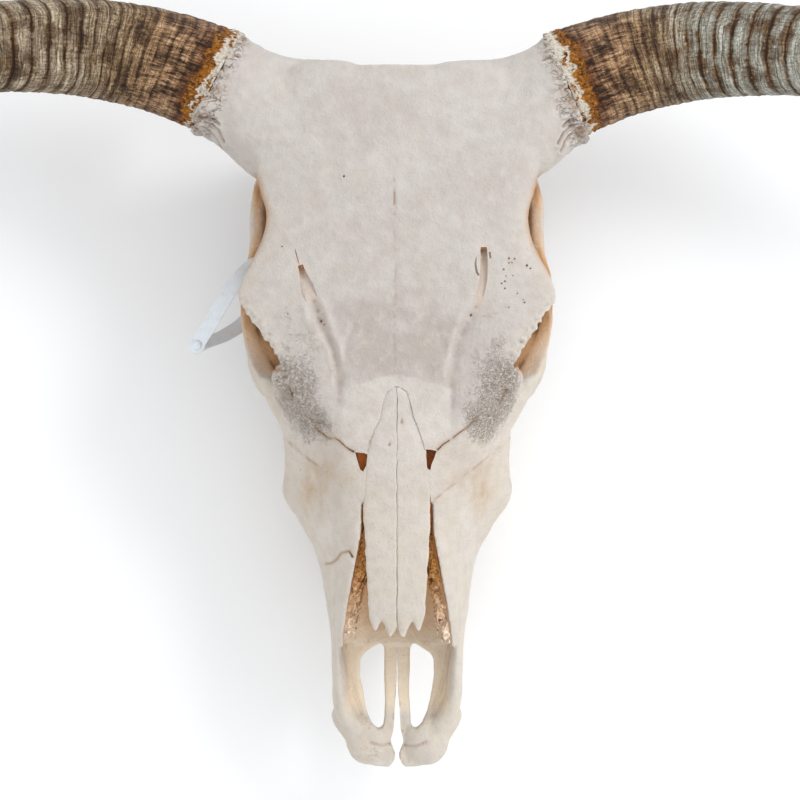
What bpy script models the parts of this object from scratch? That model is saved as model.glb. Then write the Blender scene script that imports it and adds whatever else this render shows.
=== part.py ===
"""Longhorn skull at life size, lying on its last cheek teeth and its jugular processes.

The skull is described in its own measures, in millimetres: run counts along the
forehead from the poll to the tip of the muzzle, side counts outwards from the middle,
and depth counts down from the plane of the forehead, which lies level.
Left and right are the animal's own, so its left is at +X.
"""

import bisect
import math

import bmesh
import bpy
import numpy as np
from mathutils import Matrix, Vector

MM = 0.001
FLOOR_DEPTH = 165.0  # height of the forehead plane above what the skull lies on
MIDDLE_RUN = 230.0  # the run that lies at y = 0 before the whole is centred
GAP = 0.45  # how far a cut's two faces are moved apart at their corners
SIDES = (("left", 1), ("right", -1))

# Fineness of the bone's surface.
VOXEL = 2.1
SMOOTH_TURNS = 4
BONE_TRIANGLES = 6800
RING_POINTS = 48
RUN_STEP = 6.0

# Forehead: (run, half-width) of its edge, which is also the temporal line and the brow, with
# (run, depth) of its middle and how far its edge lies below that.
BROW_EDGE = [
    (1, 74), (12, 90), (40, 98), (70, 104), (88, 102.5), (100, 99), (113, 96), (128, 98.5),
    (140, 103.5), (150, 109), (160, 113.5), (170, 117), (176, 115.5), (182, 111), (190, 105.5),
    (200, 98.5), (209, 92.5), (218, 87), (226, 84), (236, 84), (250, 78), (264, 62),
]
FOREHEAD_TOP = [(1, 6), (14, 1.5), (40, 0), (120, 0), (200, 1.5), (240, 4), (264, 7)]
BROW_DROP = [(1, 12), (40, 13), (120, 12), (165, 9.5), (215, 9), (232, 13), (250, 19), (264, 22)]
PLATE_THICKNESS = [(1, 22), (120, 22), (160, 16), (210, 14), (264, 20)]

# Braincase: (run, half-width) and (run, depth) of its underside.
BRAINCASE_WIDTH = [(0, 74), (40, 74), (70, 68), (100, 60), (140, 54), (170, 46), (200, 39), (240, 40)]
BRAINCASE_BOTTOM = [(0, 142), (60, 143), (110, 137), (150, 131), (190, 126), (240, 124)]
BRAINCASE_WAIST = 78.0

# The face's lengthwise lines, each as (run, side, depth), from the ridge of the nose round to
# the middle of the palate.
FACE_LINES = {
    "ridge": [(226, 0, 3), (260, 0, 4.5), (300, 0, 7), (345, 0, 9), (385, 0, 12), (430, 0, 18)],
    "nasal side": [(226, 30, 4), (260, 26, 6), (300, 27, 9), (345, 31, 13), (385, 36.5, 21), (410, 41, 31),
                   (430, 42.5, 43)],
    "shoulder": [(226, 62, 9), (260, 56, 14), (300, 48, 20), (330, 46, 25), (358, 44, 34), (392, 45.5, 45),
                 (430, 46.5, 58)],
    "upper cheek": [(226, 84, 17), (242, 86, 26), (260, 80, 40), (300, 75, 54), (322, 69, 56),
                    (344, 60, 54), (372, 53, 58), (400, 50, 64), (430, 48, 70)],
    "cheek": [(226, 93, 50), (246, 90, 62), (270, 85.5, 74), (300, 84.5, 79), (316, 87, 80),
              (326, 84, 82), (336, 77, 84), (348, 69.5, 85), (362, 62, 84), (380, 57, 82), (402, 53.5, 80),
              (430, 49.5, 80)],
    "gum": [(226, 62, 96), (246, 70, 108), (270, 69, 112), (300, 67, 110), (330, 64, 108), (360, 60, 103),
            (395, 50, 96), (430, 45, 91)],
    "tooth edge": [(226, 47, 124), (244, 60, 138), (252, 63, 141), (270, 63, 142), (300, 62, 134),
                   (330, 60, 126), (360, 56, 118), (395, 46, 108), (410, 40, 102), (430, 37, 97)],
    "vault side": [(226, 38, 130), (270, 38, 130), (300, 37, 123), (330, 36, 116), (360, 33, 109),
                   (395, 28, 102), (430, 24, 96)],
    "vault": [(226, 0, 127), (270, 0, 125), (300, 0, 118), (330, 0, 111), (360, 0, 105), (395, 0, 100),
              (430, 0, 95)],
}
FACE_RUNS = (226.0, 432.0)

# Nose: (run, half-width) of the opening, and of the two nasal bones with (run, depth) of their middle.
NOSE_OPENING = [(322, 26.0), (336, 26.4), (345, 26.8), (354, 28.2), (370, 30.9), (386, 33.8), (400, 36.8),
                (412, 38.6), (428, 40), (460, 38)]
NASAL_WIDTH = [(239, 1.5), (242, 7.2), (247, 9.5), (257, 12), (263, 13.5), (275, 18.5), (290, 21.5),
               (307, 23), (325, 24.3), (345, 23.8), (365, 22.8), (388, 21.6), (405, 20.5)]
NASAL_TOP = [(239, 3.6), (275, 4), (310, 5), (350, 7), (380, 9.5), (405, 12.5)]
NASAL_SIDE_DROP = 3.0
NASAL_THICKNESS = 5.0
NASAL_RUNS = (239.0, 405.0)
NASAL_STATIONS = (0.0, 0.26, 0.56, 0.8, 1.0)  # shares of the half-width at which the bone is described
NASAL_PRONGS = (9.5, 17.0, 6.0, 12.5, 4.0)  # how far each station reaches past the last run
BED_END = 325.0

# Premaxillae: outlines in plan, as (run, side), of both bones' edge and of the slot in their palate.
MUZZLE_EDGE = [(425, 0), (425, 48), (443, 49.6), (462, 48), (479, 46.8), (486, 49.6), (493, 47.5),
               (499, 43.5), (506, 38.5), (515, 35), (521, 28), (525, 16), (526, 6), (520, 0)]
PALATE_SLOT = [(431, 12), (434.5, 18), (439, 25), (444.5, 28), (457, 28), (470, 25.7), (483, 22.7),
               (492, 19), (496.5, 14.5), (494.5, 10.6), (474, 9.4), (434.5, 9.4)]
MUZZLE_GAP = [(405, 0.3), (450, 0.5), (468, 1.0), (484, 1.9), (497, 2.6), (506, 4.7), (512, 2.6),
              (518, 1.1), (524, 4), (532, 8)]

# outlines along which the bones are parted, seen from above for the left side
MIDLINE = 0.25
PREMAXILLA_OUTLINE = [(430.5, MIDLINE), (431, 40), (420, 45.5), (402, 50), (396, 60), (560, 60),
                      (560, MIDLINE)]
MAXILLA_OUTLINE = [(321, MIDLINE), (321, 27.5), (312, 39), (303, 50), (293, 64), (277, 84), (262, 110),
                   (560, 110), (560, MIDLINE)]
TOOTH_ROW_OUTLINE = [(250, MIDLINE), (250, 76), (262, 110), (560, 110), (560, MIDLINE)]
LACRIMAL_OUTLINE = [(286, 28.5), (279, 44), (270, 56), (262, 70), (243, 84), (228, 99), (262, 120),
                    (330, 120), (330, 28.5)]
ZYGOMATIC_OUTLINE = [(132, 80), (132, 140), (300, 140), (300, 79), (240, 79)]

# masses joined after the nape is cut
AT_THE_NAPE = ("condyle", "jugular", "ear_root", "nape_crest")

# outline of the back of the skull, seen from the side
NAPE_OUTLINE = [(-40, 70), (62, 70), (100, 112), (100, 220), (-40, 220)]

# Horns: the middle of each root, as (run, side, depth), and its tilt; then the course of both as
# (out, back, up). This animal's right horn sits a little further out than its left.
HORN_ROOTS = {1: (14.5, 123.5, 38.0), -1: (12.0, 131.5, 38.0)}
HORN_TILTS = {1: math.radians(23.0), -1: math.radians(28.5)}
HORN_RADIUS = 40.5
PEDICLE_RINGS = [  # side, run, tilt in degrees, half-length, half-depth, depth
    (40, 46, 0, 50, 33, 36), (70, 44, 0, 50, 34, 36), (90, 40, 4, 49.5, 34.5, 36),
    (103, 33, 12, 46, 36, 37), (113, 25, 18, 42.5, 38, 38), (124, 17, 24, 40, 38.5, 38),
    (136, 11, 25, 40, 38.5, 38), (150, 5, 25, 40, 38.5, 38),
]
HORN_COURSE = [
    (0, 0, 0), (40, 14, 1), (78, 22, 3), (115, 25.5, 7), (165, 24, 14), (230, 15, 27), (300, 3, 45),
    (370, -4, 68), (435, 0, 98), (490, 17, 132), (530, 46, 165), (553, 80, 190),
]
HORN_TAPER = [(0, 1.0), (0.12, 0.93), (0.26, 0.83), (0.45, 0.68), (0.62, 0.52), (0.78, 0.35), (0.9, 0.2),
              (0.97, 0.1), (1.0, 0.03)]
ROOT_BLEND = 90.0  # how far along a horn its rings turn from the root's tilt to the course
HORN_RINGS = 46
HORN_SIDES = 20
HORN_RIDGES = (0.992, 1.022)  # even and odd rings as shares of the plain radius
RIDGED_SHARE = 0.55

# Struts as (run, side, depth, half-thickness across, half-thickness down).
CHEEK_ARCH = [
    (58, 78, 94, 9, 14), (78, 98, 92, 7, 11), (100, 105.5, 88, 5, 9), (135, 106.5, 84, 5, 9),
    (158, 111, 80, 5.5, 10), (180, 112.5, 78, 5.5, 11), (205, 109, 78, 6, 12), (228, 99, 74, 8, 14),
    (250, 86, 70, 10, 16), (268, 76, 72, 10, 16),
]
ORBIT_BAR = [(169, 104, 12, 8, 7), (168, 109, 24, 5, 6.5), (167, 112, 45, 4.5, 6), (170, 112.5, 64, 5, 8),
             (172, 112, 80, 5, 12)]
JUGULAR = [(66, 60, 105, 12, 12), (64, 61, 130, 9, 11), (66, 60, 150, 7, 9), (70, 58, 170, 6.5, 8)]
EAR_TUBE = [(80, 60, 110, 8, 8), (78, 84, 102, 6, 6)]
PTERYGOID = [(120, 18, 128, 6, 8), (160, 22, 136, 4, 12), (200, 25, 134, 4, 14), (245, 34, 130, 6, 12)]
HAMULUS = [(172, 23, 140, 4, 6), (166, 25, 156, 3.5, 4.5)]
MUZZLE_WALL = [(398, 45, 62, 4, 20), (425, 45, 67, 4.4, 21), (450, 44, 74, 5, 17), (475, 42, 80, 6.5, 12),
               (490, 36, 84, 8, 10), (500, 28, 86, 9, 8)]
NAPE_CREST = [(18, 0, 36, 16, 8), (27, 0, 62, 12, 7), (38, 0, 96, 6, 5)]

# Hollows: the channels as struts, and (run, depth) of the floor of the nose.
FORAMEN_MAGNUM = [(25, 0, 142, 17, 17), (60, 0, 130, 18, 18), (90, 0, 118, 17, 17)]
THROAT = [(150, 0, 150, 16, 10), (190, 0, 138, 17, 20), (232, 0, 122, 18, 24), (262, 0, 112, 14, 10)]
CHEEK_HOLE = [(362, 70, 92, 4, 5), (350, 54, 90, 3.5, 4.5)]
NOSE_FLOOR = [(302, 60), (335, 84), (400, 88), (425, 85), (470, 82)]
SCROLL_RUNS = (346, 424)
SCROLL_TOP = [(346, 26), (385, 28), (424, 36)]
SCROLL_FRAY = 1.6

# Cheek teeth, from the front: (length along the row, width).
TEETH = [(15, 13), (17, 16), (18, 18), (24, 21), (27, 22), (29, 21)]
TOOTH_ROW_FRONT = 395.0
TOOTH_SIDE = [(262, 52), (300, 51), (340, 48), (380, 42), (396, 39)]
GRINDING_DEPTH = [(262, 165.6), (300, 155), (340, 143), (396, 127)]
TOOTH_ROOT = 22.0
TOOTH_SPACE = 0.8  # between the blocks of two neighbouring teeth
TOOTH_SHARES = ((0.0, 0.86), (0.55, 0.97), (1.0, 1.0))  # (share of the height, share of the width)

# Tag: a flat strip looped round the cheek arch behind the orbit; places as (run, side, depth).
TAG_COURSE = [
    (206.5, -150.5, 75.4), (190, -140, 69.5), (172, -129, 66.5), (158, -120, 67), (149, -111.5, 69.8),
    (144, -102.5, 71.8), (142, -95.5, 79), (146, -93.5, 91), (158, -97, 100), (175, -106, 104),
    (190, -118, 103), (199, -131, 95), (203, -140, 84), (205.5, -146.5, 78.6), (209, -154, 77.4),
]
TAG_RIVET = (206.5, -150.5, 75.5)
TAG_WIDTH = 9.5
TAG_THICKNESS = 0.9
TAG_ACROSS = Vector((0.85, -0.53, 0))
TAG_EYE = [(1.4, 6.4), (-3.3, 6.4)]  # height over the rivet's place and radius, from the top
TAG_HOLE = [(6, 1.9), (-8, 1.9)]
RIVET_PROFILE = [(3.0, 1.6), (2.8, 2.8), (1.8, 3.5), (1.8, 1.5), (-3.8, 1.5), (-3.8, 2.8), (-4.7, 2.4)]

SHARP_ANGLE = math.radians(40)
BONE_COLOUR = (0.78, 0.74, 0.69, 1.0)
HORN_COLOUR = (0.25, 0.19, 0.13, 1.0)
TOOTH_COLOUR = (0.72, 0.64, 0.50, 1.0)
TURBINATE_COLOUR = (0.55, 0.38, 0.24, 1.0)
TAG_COLOUR = (0.72, 0.76, 0.80, 1.0)


def spot(run, side, depth):
    """A place on the skull in the model's own axes, in metres."""
    return Vector((side, MIDDLE_RUN - run, FLOOR_DEPTH - depth)) * MM


def along(profile, at):
    """The value at one place of a smooth profile, given as (place, value) pairs."""
    places = [pair[0] for pair in profile]
    values = [pair[1] for pair in profile]
    at = min(max(at, places[0]), places[-1])
    i = min(max(bisect.bisect_right(places, at) - 1, 0), len(places) - 2)

    def slope(k):
        low, high = max(k - 1, 0), min(k + 1, len(places) - 1)
        return (values[high] - values[low]) / (places[high] - places[low])

    step = places[i + 1] - places[i]
    t = (at - places[i]) / step
    return (
        values[i] * (2 * t**3 - 3 * t**2 + 1)
        + values[i + 1] * (3 * t**2 - 2 * t**3)
        + step * slope(i) * (t**3 - 2 * t**2 + t)
        + step * slope(i + 1) * (t**3 - t**2)
    )


def runs_between(first, last, step=RUN_STEP):
    return np.linspace(first, last, max(2, int(round((last - first) / step)) + 1))


def new_object(name, mesh):
    obj = bpy.data.objects.new(name, mesh)
    bpy.context.scene.collection.objects.link(obj)
    return obj


def object_from_bmesh(name, bm):
    bmesh.ops.recalc_face_normals(bm, faces=bm.faces)
    mesh = bpy.data.meshes.new(name)
    bm.to_mesh(mesh)
    bm.free()
    return new_object(name, mesh)


def loft(name, rings):
    """A closed skin over rings that have the same number of points."""
    bm = bmesh.new()
    loops = [[bm.verts.new(point) for point in ring] for ring in rings]
    count = len(loops[0])
    for low, high in zip(loops, loops[1:]):
        for i in range(count):
            j = (i + 1) % count
            bm.faces.new((low[i], low[j], high[j], high[i]))
    bm.faces.new(loops[0])
    bm.faces.new(loops[-1])
    return object_from_bmesh(name, bm)


def power_wave(value, power):
    return math.copysign(abs(value) ** (2.0 / power), value)


def egg_ring(run, half_width, top, waist, bottom, top_power=3.4, bottom_power=2.4):
    """A crosswise ring of the skull that is widest at the waist's depth."""
    ring = []
    for i in range(RING_POINTS):
        angle = 2 * math.pi * i / RING_POINTS
        up = math.sin(angle)
        power, reach = (top_power, waist - top) if up > 0 else (bottom_power, bottom - waist)
        ring.append(spot(run, half_width * power_wave(math.cos(angle), power),
                         waist - reach * power_wave(up, power)))
    return ring


def blob(name, centre, radii, turn=(0, 0, 0)):
    """An ellipsoid; radii are along the side, the run and the depth."""
    bpy.ops.mesh.primitive_uv_sphere_add(segments=24, ring_count=16, radius=1.0)
    obj = bpy.context.object
    obj.name = name
    obj.scale = [radius * MM for radius in radii]
    obj.rotation_euler = turn
    obj.location = spot(*centre)
    return applied(obj)


def limb(name, stations, sides=16):
    """A smooth limb through stations (run, side, depth, half-thickness across, half-thickness down)."""
    points = [spot(*station[:3]) for station in stations]
    bm = bmesh.new()
    loops = []
    last = len(points) - 1
    for i, (point, station) in enumerate(zip(points, stations)):
        ahead = (points[min(i + 1, last)] - points[max(i - 1, 0)]).normalized()
        helper = Vector((0, 0, 1)) if abs(ahead.z) < 0.85 else Vector((0, 1, 0))
        across = ahead.cross(helper).normalized()
        down = ahead.cross(across).normalized()
        loops.append([
            bm.verts.new(point + across * station[3] * MM * math.cos(2 * math.pi * k / sides)
                         + down * station[4] * MM * math.sin(2 * math.pi * k / sides))
            for k in range(sides)
        ])
    for low, high in zip(loops, loops[1:]):
        for i in range(sides):
            j = (i + 1) % sides
            bm.faces.new((low[i], low[j], high[j], high[i]))
    bm.faces.new(loops[0])
    bm.faces.new(loops[-1])
    return object_from_bmesh(name, bm)


def smooth_stations(stations, step=7.0):
    """More stations on a smooth course through a few, each with as many values."""
    marks = [0.0]
    for a, b in zip(stations, stations[1:]):
        marks.append(marks[-1] + math.dist(a[:3], b[:3]))
    profiles = [list(zip(marks, values)) for values in zip(*stations)]
    count = max(2, int(marks[-1] / step))
    return [tuple(along(profile, marks[-1] * i / count) for profile in profiles) for i in range(count + 1)]


def prism(name, outline, low, high, axes="plan"):
    """An upright block over an outline: (run, side) between depths, or (run, depth) between sides."""
    place = {
        "plan": lambda a, b, level: spot(a, b, level),
        "profile": lambda a, b, level: spot(a, level, b),
    }[axes]
    return loft(name, [[place(a, b, level) for a, b in outline] for level in (low, high)])


def applied(obj):
    """The object with its modifiers and its placing worked into its mesh."""
    bpy.context.view_layer.update()
    graph = bpy.context.evaluated_depsgraph_get()
    evaluated = obj.evaluated_get(graph)
    mesh = bpy.data.meshes.new_from_object(evaluated)
    mesh.transform(obj.matrix_world)
    obj.modifiers.clear()
    obj.data = mesh
    obj.location = (0, 0, 0)
    obj.rotation_euler = (0, 0, 0)
    obj.scale = (1, 1, 1)
    return obj


def remove(obj):
    bpy.data.objects.remove(obj)


def boolean(obj, others, operation):
    """Joins, cuts or crosses obj with the others, which are used up."""
    tools = bpy.data.collections.new("tools")
    for other in others:
        for home in list(other.users_collection):
            home.objects.unlink(other)
        tools.objects.link(other)
    step = obj.modifiers.new("boolean", "BOOLEAN")
    step.operation = operation
    step.operand_type = "COLLECTION"
    step.collection = tools
    step.solver = "MANIFOLD"
    applied(obj)
    for other in others:
        remove(other)
    bpy.data.collections.remove(tools)
    return obj


def copied(obj, name="copy"):
    return new_object(name, obj.data.copy())


def grown(obj, by):
    """A copy with each corner moved outwards."""
    bigger = copied(obj)
    bm = bmesh.new()
    bm.from_mesh(bigger.data)
    bm.normal_update()
    moves = [vertex.normal * by * MM for vertex in bm.verts]
    for vertex, move in zip(bm.verts, moves):
        vertex.co += move
    bm.to_mesh(bigger.data)
    bm.free()
    return bigger


def largest_piece(obj):
    """Drops all but the largest closed surface of the object."""
    bm = bmesh.new()
    bm.from_mesh(obj.data)
    left = set(bm.verts)
    pieces = []
    while left:
        front = [left.pop()]
        piece = list(front)
        while front:
            vertex = front.pop()
            for edge in vertex.link_edges:
                other = edge.other_vert(vertex)
                if other in left:
                    left.remove(other)
                    front.append(other)
                    piece.append(other)
        pieces.append(piece)
    pieces.sort(key=len)
    for piece in pieces[:-1]:
        bmesh.ops.delete(bm, geom=piece, context="VERTS")
    bm.to_mesh(obj.data)
    bm.free()
    return obj


def part_off(body, name, region):
    """Cuts the region out of the body by a thin cut and returns it as a node of its own."""
    piece = copied(body, name)
    outer = grown(region, GAP)
    boolean(piece, [region], "INTERSECT")
    boolean(body, [outer], "DIFFERENCE")
    return largest_piece(piece)


def coat(obj, colour, roughness=0.6, metallic=0.0):
    material = bpy.data.materials.new(obj.name + "_finish")
    material.use_nodes = True
    shader = material.node_tree.nodes["Principled BSDF"]
    shader.inputs["Base Color"].default_value = colour
    shader.inputs["Roughness"].default_value = roughness
    shader.inputs["Metallic"].default_value = metallic
    obj.data.materials.clear()
    obj.data.materials.append(material)
    obj.data.shade_smooth()
    obj.data.set_sharp_from_angle(angle=SHARP_ANGLE)


def forehead():
    """The forehead with its brows and the rounded edge of the poll."""
    rings = []
    for run in runs_between(1, 264):
        rear = min(1.0, (run - 1) / 16.0)
        swell = 0.15 + 0.85 * math.sqrt(1 - (1 - rear) ** 2)
        drop = along(BROW_DROP, run)
        waist = along(FOREHEAD_TOP, run) + drop
        rings.append(egg_ring(run, along(BROW_EDGE, run), waist - drop * swell, waist,
                              waist + along(PLATE_THICKNESS, run) * swell, 3.0, 2.2))
    return loft("forehead", rings)


def braincase():
    rings = []
    for run in runs_between(2, 240):
        wide = along(BRAINCASE_WIDTH, run)
        bottom = along(BRAINCASE_BOTTOM, run)
        rings.append(egg_ring(run, wide, 8, BRAINCASE_WAIST, bottom, 3.0, 2.6))
    return loft("braincase", rings)


def ring_through(points, count):
    """A closed ring of count points on a smooth curve through a few points."""
    size = len(points)
    ring = []
    for i in range(count):
        place = size * i / count
        k = int(place)
        t = place - k
        a, b, c, d = (points[(k + n) % size] for n in (-1, 0, 1, 2))
        ring.append(0.5 * ((2 * b) + (c - a) * t + (2 * a - 5 * b + 4 * c - d) * t**2
                           + (3 * b - a - 3 * c + d) * t**3))
    return ring


def line_at(line, run):
    return (along([(p[0], p[1]) for p in line], run), along([(p[0], p[2]) for p in line], run))


def face():
    """The face from the front wall of the orbits to the root of the muzzle."""
    rings = []
    lines = list(FACE_LINES.values())
    for run in runs_between(*FACE_RUNS):
        half = [line_at(line, run) for line in lines]
        both = [spot(run, side, depth) for side, depth in half]
        both += [spot(run, -side, depth) for side, depth in reversed(half[1:-1])]
        rings.append(ring_through(both, RING_POINTS + 16))
    return loft("face", rings)


def pedicle(sign):
    """The bony root of a horn, flaring out of the forehead."""
    rings = []
    for side, run, tilt, half_length, half_depth, depth in smooth_stations(PEDICLE_RINGS, 8.0):
        lean = math.radians(tilt)
        ring = []
        for i in range(32):
            angle = 2 * math.pi * i / 32
            reach = half_length * power_wave(math.cos(angle), 2.3)
            ring.append(spot(run + reach * math.cos(lean), sign * (side + reach * math.sin(lean)),
                             depth - half_depth * power_wave(math.sin(angle), 2.3)))
        rings.append(ring)
    return loft("pedicle", rings)


def strut(name, stations, sign=1):
    """A limb on one side of the skull, through stations given for the left."""
    placed = [(run, sign * side, *others) for run, side, *others in stations]
    return limb(name, smooth_stations(placed))


def base_pieces(sign):
    """What stands under the braincase on one side: ear root, condyle, jugular process, bulla, pterygoid."""
    return [
        blob("ear_root", (62, sign * 74, 92), (22, 20, 24)),
        blob("condyle", (54, sign * 29, 139), (19, 17, 17), (math.radians(-20), 0, 0)),
        strut("jugular", JUGULAR, sign),
        blob("bulla", (92, sign * 46, 130), (10, 15, 15)),
        strut("ear_tube", EAR_TUBE, sign),
        strut("pterygoid", PTERYGOID, sign),
        strut("hamulus", HAMULUS, sign),
    ]


def orbit_floor(sign):
    return blob("orbit_floor", (212, sign * 78, 88), (36, 44, 15))


def tear_knob(sign):
    """The rough knob of the tear bone at the orbit's front corner."""
    return blob("tear_knob", (232, sign * 81, 17), (12, 11, 9))


def poll_knob(sign):
    return blob("poll_knob", (11, sign * 52, 17), (36, 13, 14))


def muzzle(sign):
    """One premaxilla in the rough: its side wall, its sole and the body at the tip."""
    sole = [(run, sign * side) for run, side in MUZZLE_EDGE]
    return [
        strut("side_wall", MUZZLE_WALL, sign),
        prism("sole", sole, 84, 93),
        blob("tip", (505, sign * 22, 86), (17, 19, 9.5)),
    ]


def muzzle_slots():
    """The long slots in the palate of the premaxillae and the trim of their tips."""
    return [prism("slot", [(run, sign * side) for run, side in PALATE_SLOT], 20, 200) for _, sign in SIDES]


def nose_cavity():
    """The hollow of the nose, under the nasal bones and out at the front."""
    rings = []
    for run in runs_between(302, 470):
        half = along(NOSE_OPENING, run) if run > 322 else 20
        floor = along(NOSE_FLOOR, run)
        ring = [
            (half * 0.7, 19), (half, 24), (half, 44), (half + 2, 56), (half - 1, floor - 6),
            (half * 0.6, floor), (0, floor - 2),
        ]
        points = [spot(run, side, depth) for side, depth in ring]
        points += [spot(run, -side, depth) for side, depth in reversed(ring[:-1])]
        rings.append(points)
    return loft("nose_cavity", rings)


def nose_opening():
    """What is open above the hollow of the nose."""
    outline = [(run, along(NOSE_OPENING, run)) for run in runs_between(323, 480, 5)]
    outline += [(run, -side) for run, side in reversed(outline)]
    return prism("nose_opening", outline, -30, 40)


def nasal_section(run, spread=0.0):
    """Places (side, depth) across one nasal bone's upper face."""
    width = along(NASAL_WIDTH, run) + spread
    top = along(NASAL_TOP, run)
    drop = NASAL_SIDE_DROP * min(1.0, width / 20)
    return [(width * share, top + drop * share**2.2) for share in NASAL_STATIONS]


def nasal_bed():
    """The bed of the nasal bones in the bones around them."""
    rings = []
    for run in [NASAL_RUNS[0] - GAP] + list(runs_between(NASAL_RUNS[0] + 3, BED_END, 9)):
        section = nasal_section(run, GAP)
        lower = [(side, depth + NASAL_THICKNESS + GAP) for side, depth in section]
        half = lower + [(section[-1][0], -30)]
        ring = [spot(run, side, depth) for side, depth in half]
        ring += [spot(run, -side, depth) for side, depth in reversed(half[1:])]
        rings.append(ring)
    return loft("nasal_bed", rings)


def cavities():
    """All that is hollowed out of the bone, apart from the fine gap down the middle of the muzzle."""
    cut = [
        blob("brain_hollow", (94, 0, 110), (24, 42, 20)),
        strut("foramen_magnum", FORAMEN_MAGNUM),
        strut("throat", THROAT),
        nose_cavity(),
        nose_opening(),
    ] + muzzle_slots()
    for _, sign in SIDES:
        cut.append(blob("orbit", (203, sign * 104, 45), (70, 33, 31)))
        cut.append(blob("orbit_mouth", (205, sign * 116, 44), (34, 30, 33)))
        cut.append(blob("tear_gap", (292, sign * 26.2, 6), (4.0, 6.0, 20)))
        cut.append(strut("cheek_hole", CHEEK_HOLE, sign))
    return cut


def beyond_the_nape():
    """The block behind the sloping nape, taken away below the poll."""
    return prism("nape", [(-60, 26), (7, 26), (16, 60), (32, 100), (44, 128), (44, 200), (-60, 200)],
                 -200, 200, "profile")


def under_the_floor():
    outline = [(-80, FLOOR_DEPTH), (600, FLOOR_DEPTH), (600, 260), (-80, 260)]
    return prism("floor", outline, -200, 200, "profile")


def beyond_the_horn_root(sign):
    """The block outside the plane in which a horn meets its bony root."""
    run, side, depth = HORN_ROOTS[sign]
    tilt = HORN_TILTS[sign]
    out = Vector((sign * math.cos(tilt), math.sin(tilt), 0))
    back = Vector((-sign * math.sin(tilt), math.cos(tilt), 0))
    centre = spot(run, sign * side, depth)
    corners = [(-90, -60), (90, -60), (90, 60), (-90, 60)]
    rings = [
        [centre + out * reach * MM + back * a * MM + Vector((0, 0, b * MM)) for a, b in corners]
        for reach in (0, 70)
    ]
    return loft("beyond_root", rings)


def tooth(sign, start, length, width):
    """One cheek tooth as a slightly waisted block with a ridged crown."""
    middle = start - length / 2
    side = along(TOOTH_SIDE, middle)
    half = (length - TOOTH_SPACE) / 2
    rings = []
    for share, wide in TOOTH_SHARES:
        ring = []
        for i in range(10):
            angle = 2 * math.pi * (i + 0.5) / 10
            run = middle + half * power_wave(math.cos(angle), 4.0) * (0.94 + 0.06 * wide)
            out = side + width / 2 * wide * power_wave(math.sin(angle), 3.0)
            grinding = along(GRINDING_DEPTH, run)
            ring.append(spot(run, sign * out, grinding - TOOTH_ROOT * (1 - share)))
        rings.append(ring)
    return loft("tooth", rings)


def tooth_row(sign):
    start = TOOTH_ROW_FRONT
    row = []
    for length, width in TEETH:
        row.append(tooth(sign, start, length, width))
        start -= length
    return row


def whole_skull():
    """All the bone as one closed, smoothly blended body."""
    body = forehead()
    masses = [braincase(), face()]
    for _, sign in SIDES:
        masses += [strut("cheek_arch", CHEEK_ARCH, sign), strut("orbit_bar", ORBIT_BAR, sign)]
        masses += [pedicle(sign), orbit_floor(sign), tear_knob(sign), poll_knob(sign)]
        masses += base_pieces(sign) + muzzle(sign)
    masses.append(strut("nape_crest", NAPE_CREST))
    late = [mass for mass in masses if mass.name.startswith(AT_THE_NAPE)]
    early = [mass for mass in masses if mass not in late]
    boolean(body, early, "UNION")
    boolean(body, [beyond_the_nape()], "DIFFERENCE")
    boolean(body, late, "UNION")
    boolean(body, cavities(), "DIFFERENCE")
    remesh = body.modifiers.new("remesh", "REMESH")
    remesh.mode = "VOXEL"
    remesh.voxel_size = VOXEL * MM
    smooth = body.modifiers.new("smooth", "SMOOTH")
    smooth.factor = 0.5
    smooth.iterations = SMOOTH_TURNS
    applied(body)
    largest_piece(body)
    thin = body.modifiers.new("thin", "DECIMATE")
    thin.ratio = BONE_TRIANGLES / (2.0 * len(body.data.polygons))
    applied(body)
    body.name = "cranium"
    return body


def muzzle_gap():
    """The gap between the two premaxillae, seen from above."""
    outline = [(run, along(MUZZLE_GAP, run)) for run in runs_between(432, 532, 4)]
    outline += [(run, -side) for run, side in reversed(outline)]
    return prism("muzzle_gap", outline, 20, 200)


def regions(sign):
    """The regions of the bones of one side, in the order in which they are cut off."""
    def region(outline, low, high):
        return prism("region", [(run, sign * side) for run, side in outline], low, high)

    def upper_jaw():
        return boolean(region(MAXILLA_OUTLINE, -40, 60), [region(TOOTH_ROW_OUTLINE, 50, 200)], "UNION")

    return [
        ("premaxilla", lambda: region(PREMAXILLA_OUTLINE, -40, 200)),
        ("maxilla", upper_jaw),
        ("lacrimal", lambda: region(LACRIMAL_OUTLINE, -40, 50)),
        ("zygomatic", lambda: region(ZYGOMATIC_OUTLINE, 48, 120)),
    ]


def nape_region():
    """The region of the back of the skull."""
    return prism("region", NAPE_OUTLINE, -200, 200, "profile")


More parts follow.
